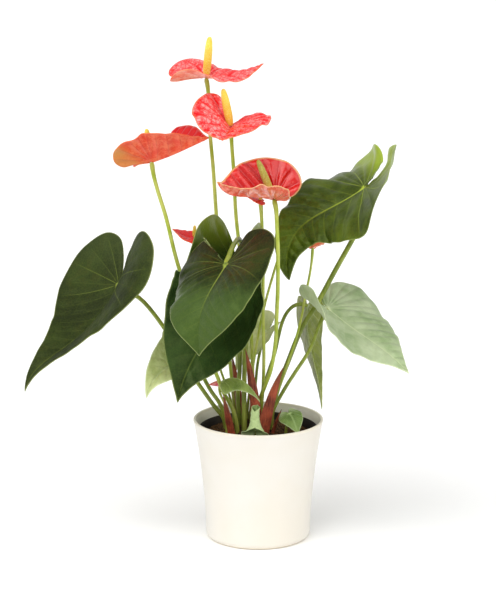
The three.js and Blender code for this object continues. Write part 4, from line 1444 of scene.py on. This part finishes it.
class PLANT_OT_stage(bpy.types.Operator):
    """Sets the floor, the light and the camera"""

    bl_idname = "plant.stage"
    bl_label = "Stage"

    def execute(self, context):
        scene, sizes = context.scene, sizes_of("stage")
        far = FLOOR_REACH
        corners = [(-far, -far, 0), (far, -far, 0), (far, far, 0), (-far, far, 0)]
        mesh = bpy.data.meshes.new("floor")
        mesh.from_pydata(corners, [], [[0, 1, 2, 3]])
        look = dict(floor=sizes.floor, floor_shade=[0.98 * part for part in sizes.floor])
        mesh.materials.append(floor_finish("Floor", look))
        floor = bpy.data.objects.new("floor", mesh)
        scene.collection.objects.link(floor)
        scene.world = studio(sizes.walls, sizes.ceiling)
        for name, light in LIGHTS.items():
            add_sun(name, power=getattr(sizes, name), **light)
        camera = bpy.data.cameras.new("camera")
        camera.lens = sizes.lens
        camera.sensor_width = SENSOR_WIDTH
        stand = bpy.data.objects.new("camera", camera)
        stand.location = sizes.camera
        stand.rotation_euler = (math.pi / 2 - sizes.pitch, 0, 0)
        scene.collection.objects.link(stand)
        scene.camera = stand
        scene.view_settings.view_transform = "Standard"
        return {"FINISHED"}


# ------------------------------------------------------------------ what the operators share


def arc(centre, radius, first, last, steps):
    """Points of an arc, from angle to angle in degrees."""
    angles = np.radians(np.linspace(first, last, steps + 1))
    return [(centre[0] + radius * math.cos(a), centre[1] + radius * math.sin(a)) for a in angles]


def turned(name, profile, material, sides):
    """A lathed mesh from (radius, height) pairs in millimetres."""
    curve = path_curve(name, [(r - LATHE_RADIUS / MM, -z, 0) for r, z in profile])
    return grown(name, curve, lathe_tree(), {"Sides": sides, "Material": material})


def one_point():
    """A mesh of a single point, for a tree that needs nothing to start from."""
    mesh = bpy.data.meshes.new("point")
    mesh.from_pydata([(0, 0, 0)], [], [])
    return mesh


def soil_mesh(sizes):
    """A closed bed of soil with a lumpy, mounded top."""
    base, edge = 6.3, sizes.edge_height / MM
    foot, rim, level, middle = 45, 60.5, 60, 1.2
    rings, sides = 46, 120
    heap_x, heap_y, heap_width = -5, 12, 32
    angles = np.linspace(0, 2 * math.pi, sides, endpoint=False)
    profile = [(foot, base), (rim, edge)] + [(r, edge) for r in np.linspace(level, middle, rings)]
    points = [(0, 0, base)]
    for r, z in profile:
        points += [(r * math.cos(a), r * math.sin(a), z) for a in angles]
    points.append((0, 0, edge))
    place = np.array(points)
    top = np.arange(len(place)) > 2 * sides
    x, y = place[:, 0], place[:, 1]
    away = (x - heap_x) ** 2 + (y - heap_y) ** 2
    heap = sizes.mound / MM * np.exp(-away / heap_width**2)
    lumps = 0.9 * np.sin(x * 0.31 + 1.3) * np.cos(y * 0.27)
    lumps = lumps + 0.6 * np.sin(x * 0.83) * np.sin(y * 0.71 + 2)
    place[top, 2] += (heap + lumps * np.clip((level - np.hypot(x, y)) / 6, 0, 1))[top]
    faces = []
    for k in range(sides):
        n = (k + 1) % sides
        faces.append([0, 1 + n, 1 + k])
        for ring in range(len(profile) - 1):
            a, b = 1 + ring * sides, 1 + (ring + 1) * sides
            faces.append([a + k, a + n, b + n, b + k])
        last = 1 + (len(profile) - 1) * sides
        faces.append([last + k, last + n, len(place) - 1])
    return solid_mesh("soil_bed", place, faces)


def keep_top(mesh, height, radius):
    """Keeps only a mesh's faces above a height and within a radius, in metres."""
    points = np.array([v.co for v in mesh.vertices])
    faces = [list(p.vertices) for p in mesh.polygons]
    good = (points[:, 2] > height) & (np.hypot(points[:, 0], points[:, 1]) < radius)
    faces = [face for face in faces if good[face].all()]
    mesh.clear_geometry()
    mesh.from_pydata(points.tolist(), [], faces)


def follower(chosen, usual):
    """Gives the tones of screen codes, changed as far as the user has changed a colour."""
    ratio = [round(new / old, 6) for new, old in zip(chosen, usual)]
    return lambda code: tuple(part * share for part, share in zip(tone(code), ratio))


def leaf_looks(sizes):
    """The leaves' finishes: colours, vein widths in millimetres and gloss."""
    mature, young = follower(sizes.mature, MATURE_GREEN), follower(sizes.young, YOUNG_GREEN)
    common = dict(
        vein_width=0.75, rib_width=1.4, vein_show=0.5, painted_highlight="000000", painted_highlight_show=0.0,
    )
    dark = dict(
        common, vein="8c9a40", tint="33300f", rim="a9b36c", under="74854a", under_light="8e9c66",
        rib_show=0.7, vein_fade=0.9, rib_fade=0.8, rim_show=0.35, gloss=0.22, coat=0.0,
        blotch=0.25, pucker=1.6, sheen=(0.75, 0.95, 0.35),
    )
    pale = dict(
        common, deep=young("859a6c"), light=young("b0bd98"), vein="c6d0a2", lobe="d2dcb2",
        lobe_light_and_shade_show=0.5, rim="dbe3bc", under="a8b68a", under_light="c0cba6", tint="7d8c6a",
        gloss=0.34, coat=0.05, shine=0.35, rib_show=0.6, vein_fade=0.6, rib_fade=0.4,
        rim_show=0.5, blotch=0.6, pucker=3.4, sheen=(0.8, 0.95, 0.5),
    )
    # The lobe colours are painted light and shade: lighter on lobes that catch the light, darker on
    # the front leaf's shaded lobes.
    return {
        "Dark leaf": dict(
            dark, deep=mature("182a10"), light=mature("2a421c"), tint="2a3414", lobe="7a8c22",
            lobe_light_and_shade_show=0.85, vein_show=0.35, shine=0.28,
        ),
        # The front leaf: its lighter lower half is a painted highlight.
        "Glossy leaf": dict(
            dark, deep=mature("131b06"), light=mature("222e0c"), lobe="1d180a", lobe_light_and_shade_show=0.9,
            painted_highlight="48602c", painted_highlight_show=0.6, gloss=0.24, shine=0.2, rib_fade=1.0,
        ),
        "Satin leaf": dict(
            dark, deep=mature("1a220a"), light=mature("2a3612"), lobe="343f20", lobe_light_and_shade_show=0.5,
            gloss=0.34, shine=0.17, sheen=(0.8, 0.95, 0.42), pucker=2.4, vein_show=0.4,
        ),
        "Bright leaf": dict(
            dark, deep=mature("2c3a0b"), light=mature("4b5c16"), vein="a9bc42", tint="4c581c",
            lobe="93a838", lobe_light_and_shade_show=0.85, vein_show=0.55, vein_fade=0.8, rib_fade=0.9,
            blotch=0.5, shine=0.3,
        ),
        "Pale leaf": pale,
        "New leaf": dict(
            pale, deep=young("a2ae6c"), light=young("ccd49c"), tint="8c9c58", under="b4be80",
            under_light="d0d8a8",
        ),
        "Hanging leaf": dict(
            pale, deep=young("606c1c"), light=young("8a9238"), tint="525e1c", under="c0c892",
            under_light="dcdcb4",
        ),
        "Shoot leaf": dict(
            pale, deep=young("56682a"), light=young("88984c"), vein="b4c484", tint="465824",
            under="7d9650", under_light="9db070", rim_show=0.25,
        ),
        "Trumpet leaf": dict(
            pale, deep=young("46602e"), light=young("7c9452"), vein="aec484", tint="364e26",
            under="8ba064", under_light="b2c48c", rim_show=0.25, vein_show=0.3, rib_show=0.4,
            gloss=0.2, shine=0.5,
        ),
    }


def spathe_looks(sizes):
    """The spathes' finishes: colours, how strongly they are mottled and veined, and gloss."""
    chosen = follower(sizes.red, SPATHE_RED)
    red = dict(
        deep=chosen("dc0a10"), light="ee1c1e", vein="b0060e", rim="f08a50", under="ec5a44",
        under_light="f48066", under_vein="d04432", lobe="b8944e", fleck="f26a62", mottle=0.5,
        crest=0.3, vein_show=0.35, rim_show=0.4, rim_width=1.6, green_lobes=0.0, net=0.25,
        gloss=0.12, coat=0.4, sheen=(1, 0.6, 0.55),
    )
    return {
        "Red spathe": red,
        "Ruffled spathe": dict(
            red, deep=chosen("be060a"), light="e83630", rim="e6cc8c", under_light="f8947c",
            fleck="fbb8a6", rim_width=2.2, rim_show=0.55, gloss=0.1, coat=0.6, mottle=0.42,
            crest=0.7,
        ),
        "Salmon spathe": dict(
            red, deep=chosen("c00a12"), light="d81e18", under="f04a30", under_light="fa7852",
            lobe="dca055", green_lobes=0.85, mottle=0.3, vein_show=0.2, crest=0.1, gloss=0.28,
            coat=0.1,
        ),
        "Faded spathe": dict(
            red, deep=chosen("ea4a3c"), light="f08a5c", vein="d86038", rim="f4b060",
            under="ee6048", under_light="f58a66", under_vein="d88a40", lobe="f0b458",
            green_lobes=1.0,
        ),
        "Pink spathe": dict(
            red, deep=chosen("ec101a"), light=sizes.pink, vein="c8081a", under="f4785c",
            under_light="fcab8c", fleck="ffd8d0", mottle=0.8, crest=0.35, vein_show=0.7,
            gloss=0.2, coat=0.2, net=0.7,
        ),
        "Bud spathe": dict(
            red, deep=chosen("d8304c"), light="f07088", under="e04460", under_light="f4a8b0",
            mottle=0.8,
        ),
    }


def spadix_looks(sizes):
    """The spadices' finishes, from foot to tip."""
    return {
        "Ripe spadix": dict(foot=sizes.yellow, tip="ecdc54", shade="d8a82a", pale="f6eca0"),
        "Green spadix": dict(foot="ccaa40", tip="a8a440", shade="a08a34", pale="e8de98"),
    }


def studio(walls, ceiling):
    """Even light from all round, of another strength overhead."""
    world = bpy.data.worlds.new("Studio")
    world.use_nodes = True
    world.node_tree.nodes.clear()
    nodes = Nodes(world.node_tree)
    direction = nodes.add("ShaderNodeTexCoord", out="Generated")
    strength = walls + nodes.smooth(nodes.height(direction), 0.02, 0.55) * (ceiling - walls)
    values = {"Color": (1, 1, 1, 1), "Strength": strength}
    light = nodes.add("ShaderNodeBackground", values)
    nodes.add("ShaderNodeOutputWorld", {"Surface": light})
    return world


def add_sun(name, towards, power, spread):
    """A broad soft light from far off in one direction; spread is its width in degrees."""
    lamp = bpy.data.lights.new(name, "SUN")
    lamp.energy = power
    lamp.angle = math.radians(spread)
    stand = bpy.data.objects.new(name, lamp)
    stand.rotation_euler = (-Vector(towards)).to_track_quat("-Z", "Y").to_euler()
    bpy.context.scene.collection.objects.link(stand)


OPERATORS = (
    PLANT_OT_cover_pot,
    PLANT_OT_nursery_pot,
    PLANT_OT_soil,
    PLANT_OT_leaves,
    PLANT_OT_spathes,
    PLANT_OT_spadices,
    PLANT_OT_stalks,
    PLANT_OT_sheaths,
    PLANT_OT_stage,
)


class PLANT_PT_flamingo_flower(bpy.types.Panel):
    """Lists the plant's sizes and the operators that make its pieces"""

    bl_idname = "PLANT_PT_flamingo_flower"
    bl_label = "Flamingo flower"
    bl_space_type = "VIEW_3D"
    bl_region_type = "UI"
    bl_category = "Plant"

    def draw(self, context):
        plant = context.scene.flamingo_flower
        for operator in OPERATORS:
            self.layout.operator(operator.bl_idname)
        for group in ("pots", "soil", "leaves", "flowers", "stage"):
            box = self.layout.box()
            box.label(text=group.capitalize())
            sizes = getattr(plant, group)
            for name in sizes.__annotations__:
                box.prop(sizes, name)


CLASSES = (
    PotSizes,
    SoilSizes,
    LeafSizes,
    FlowerSizes,
    StageSizes,
    FlamingoFlower,
    *OPERATORS,
    PLANT_PT_flamingo_flower,
)


def register():
    for cls in CLASSES:
        bpy.utils.register_class(cls)
    bpy.types.Scene.flamingo_flower = PointerProperty(type=FlamingoFlower)


def unregister():
    del bpy.types.Scene.flamingo_flower
    for cls in reversed(CLASSES):
        bpy.utils.unregister_class(cls)


def main():
    """Makes every piece in order."""
    register()
    for operator in OPERATORS:
        group, name = operator.bl_idname.split(".")
        getattr(getattr(bpy.ops, group), name)()
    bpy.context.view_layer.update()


if __name__ == "__main__":
    main()
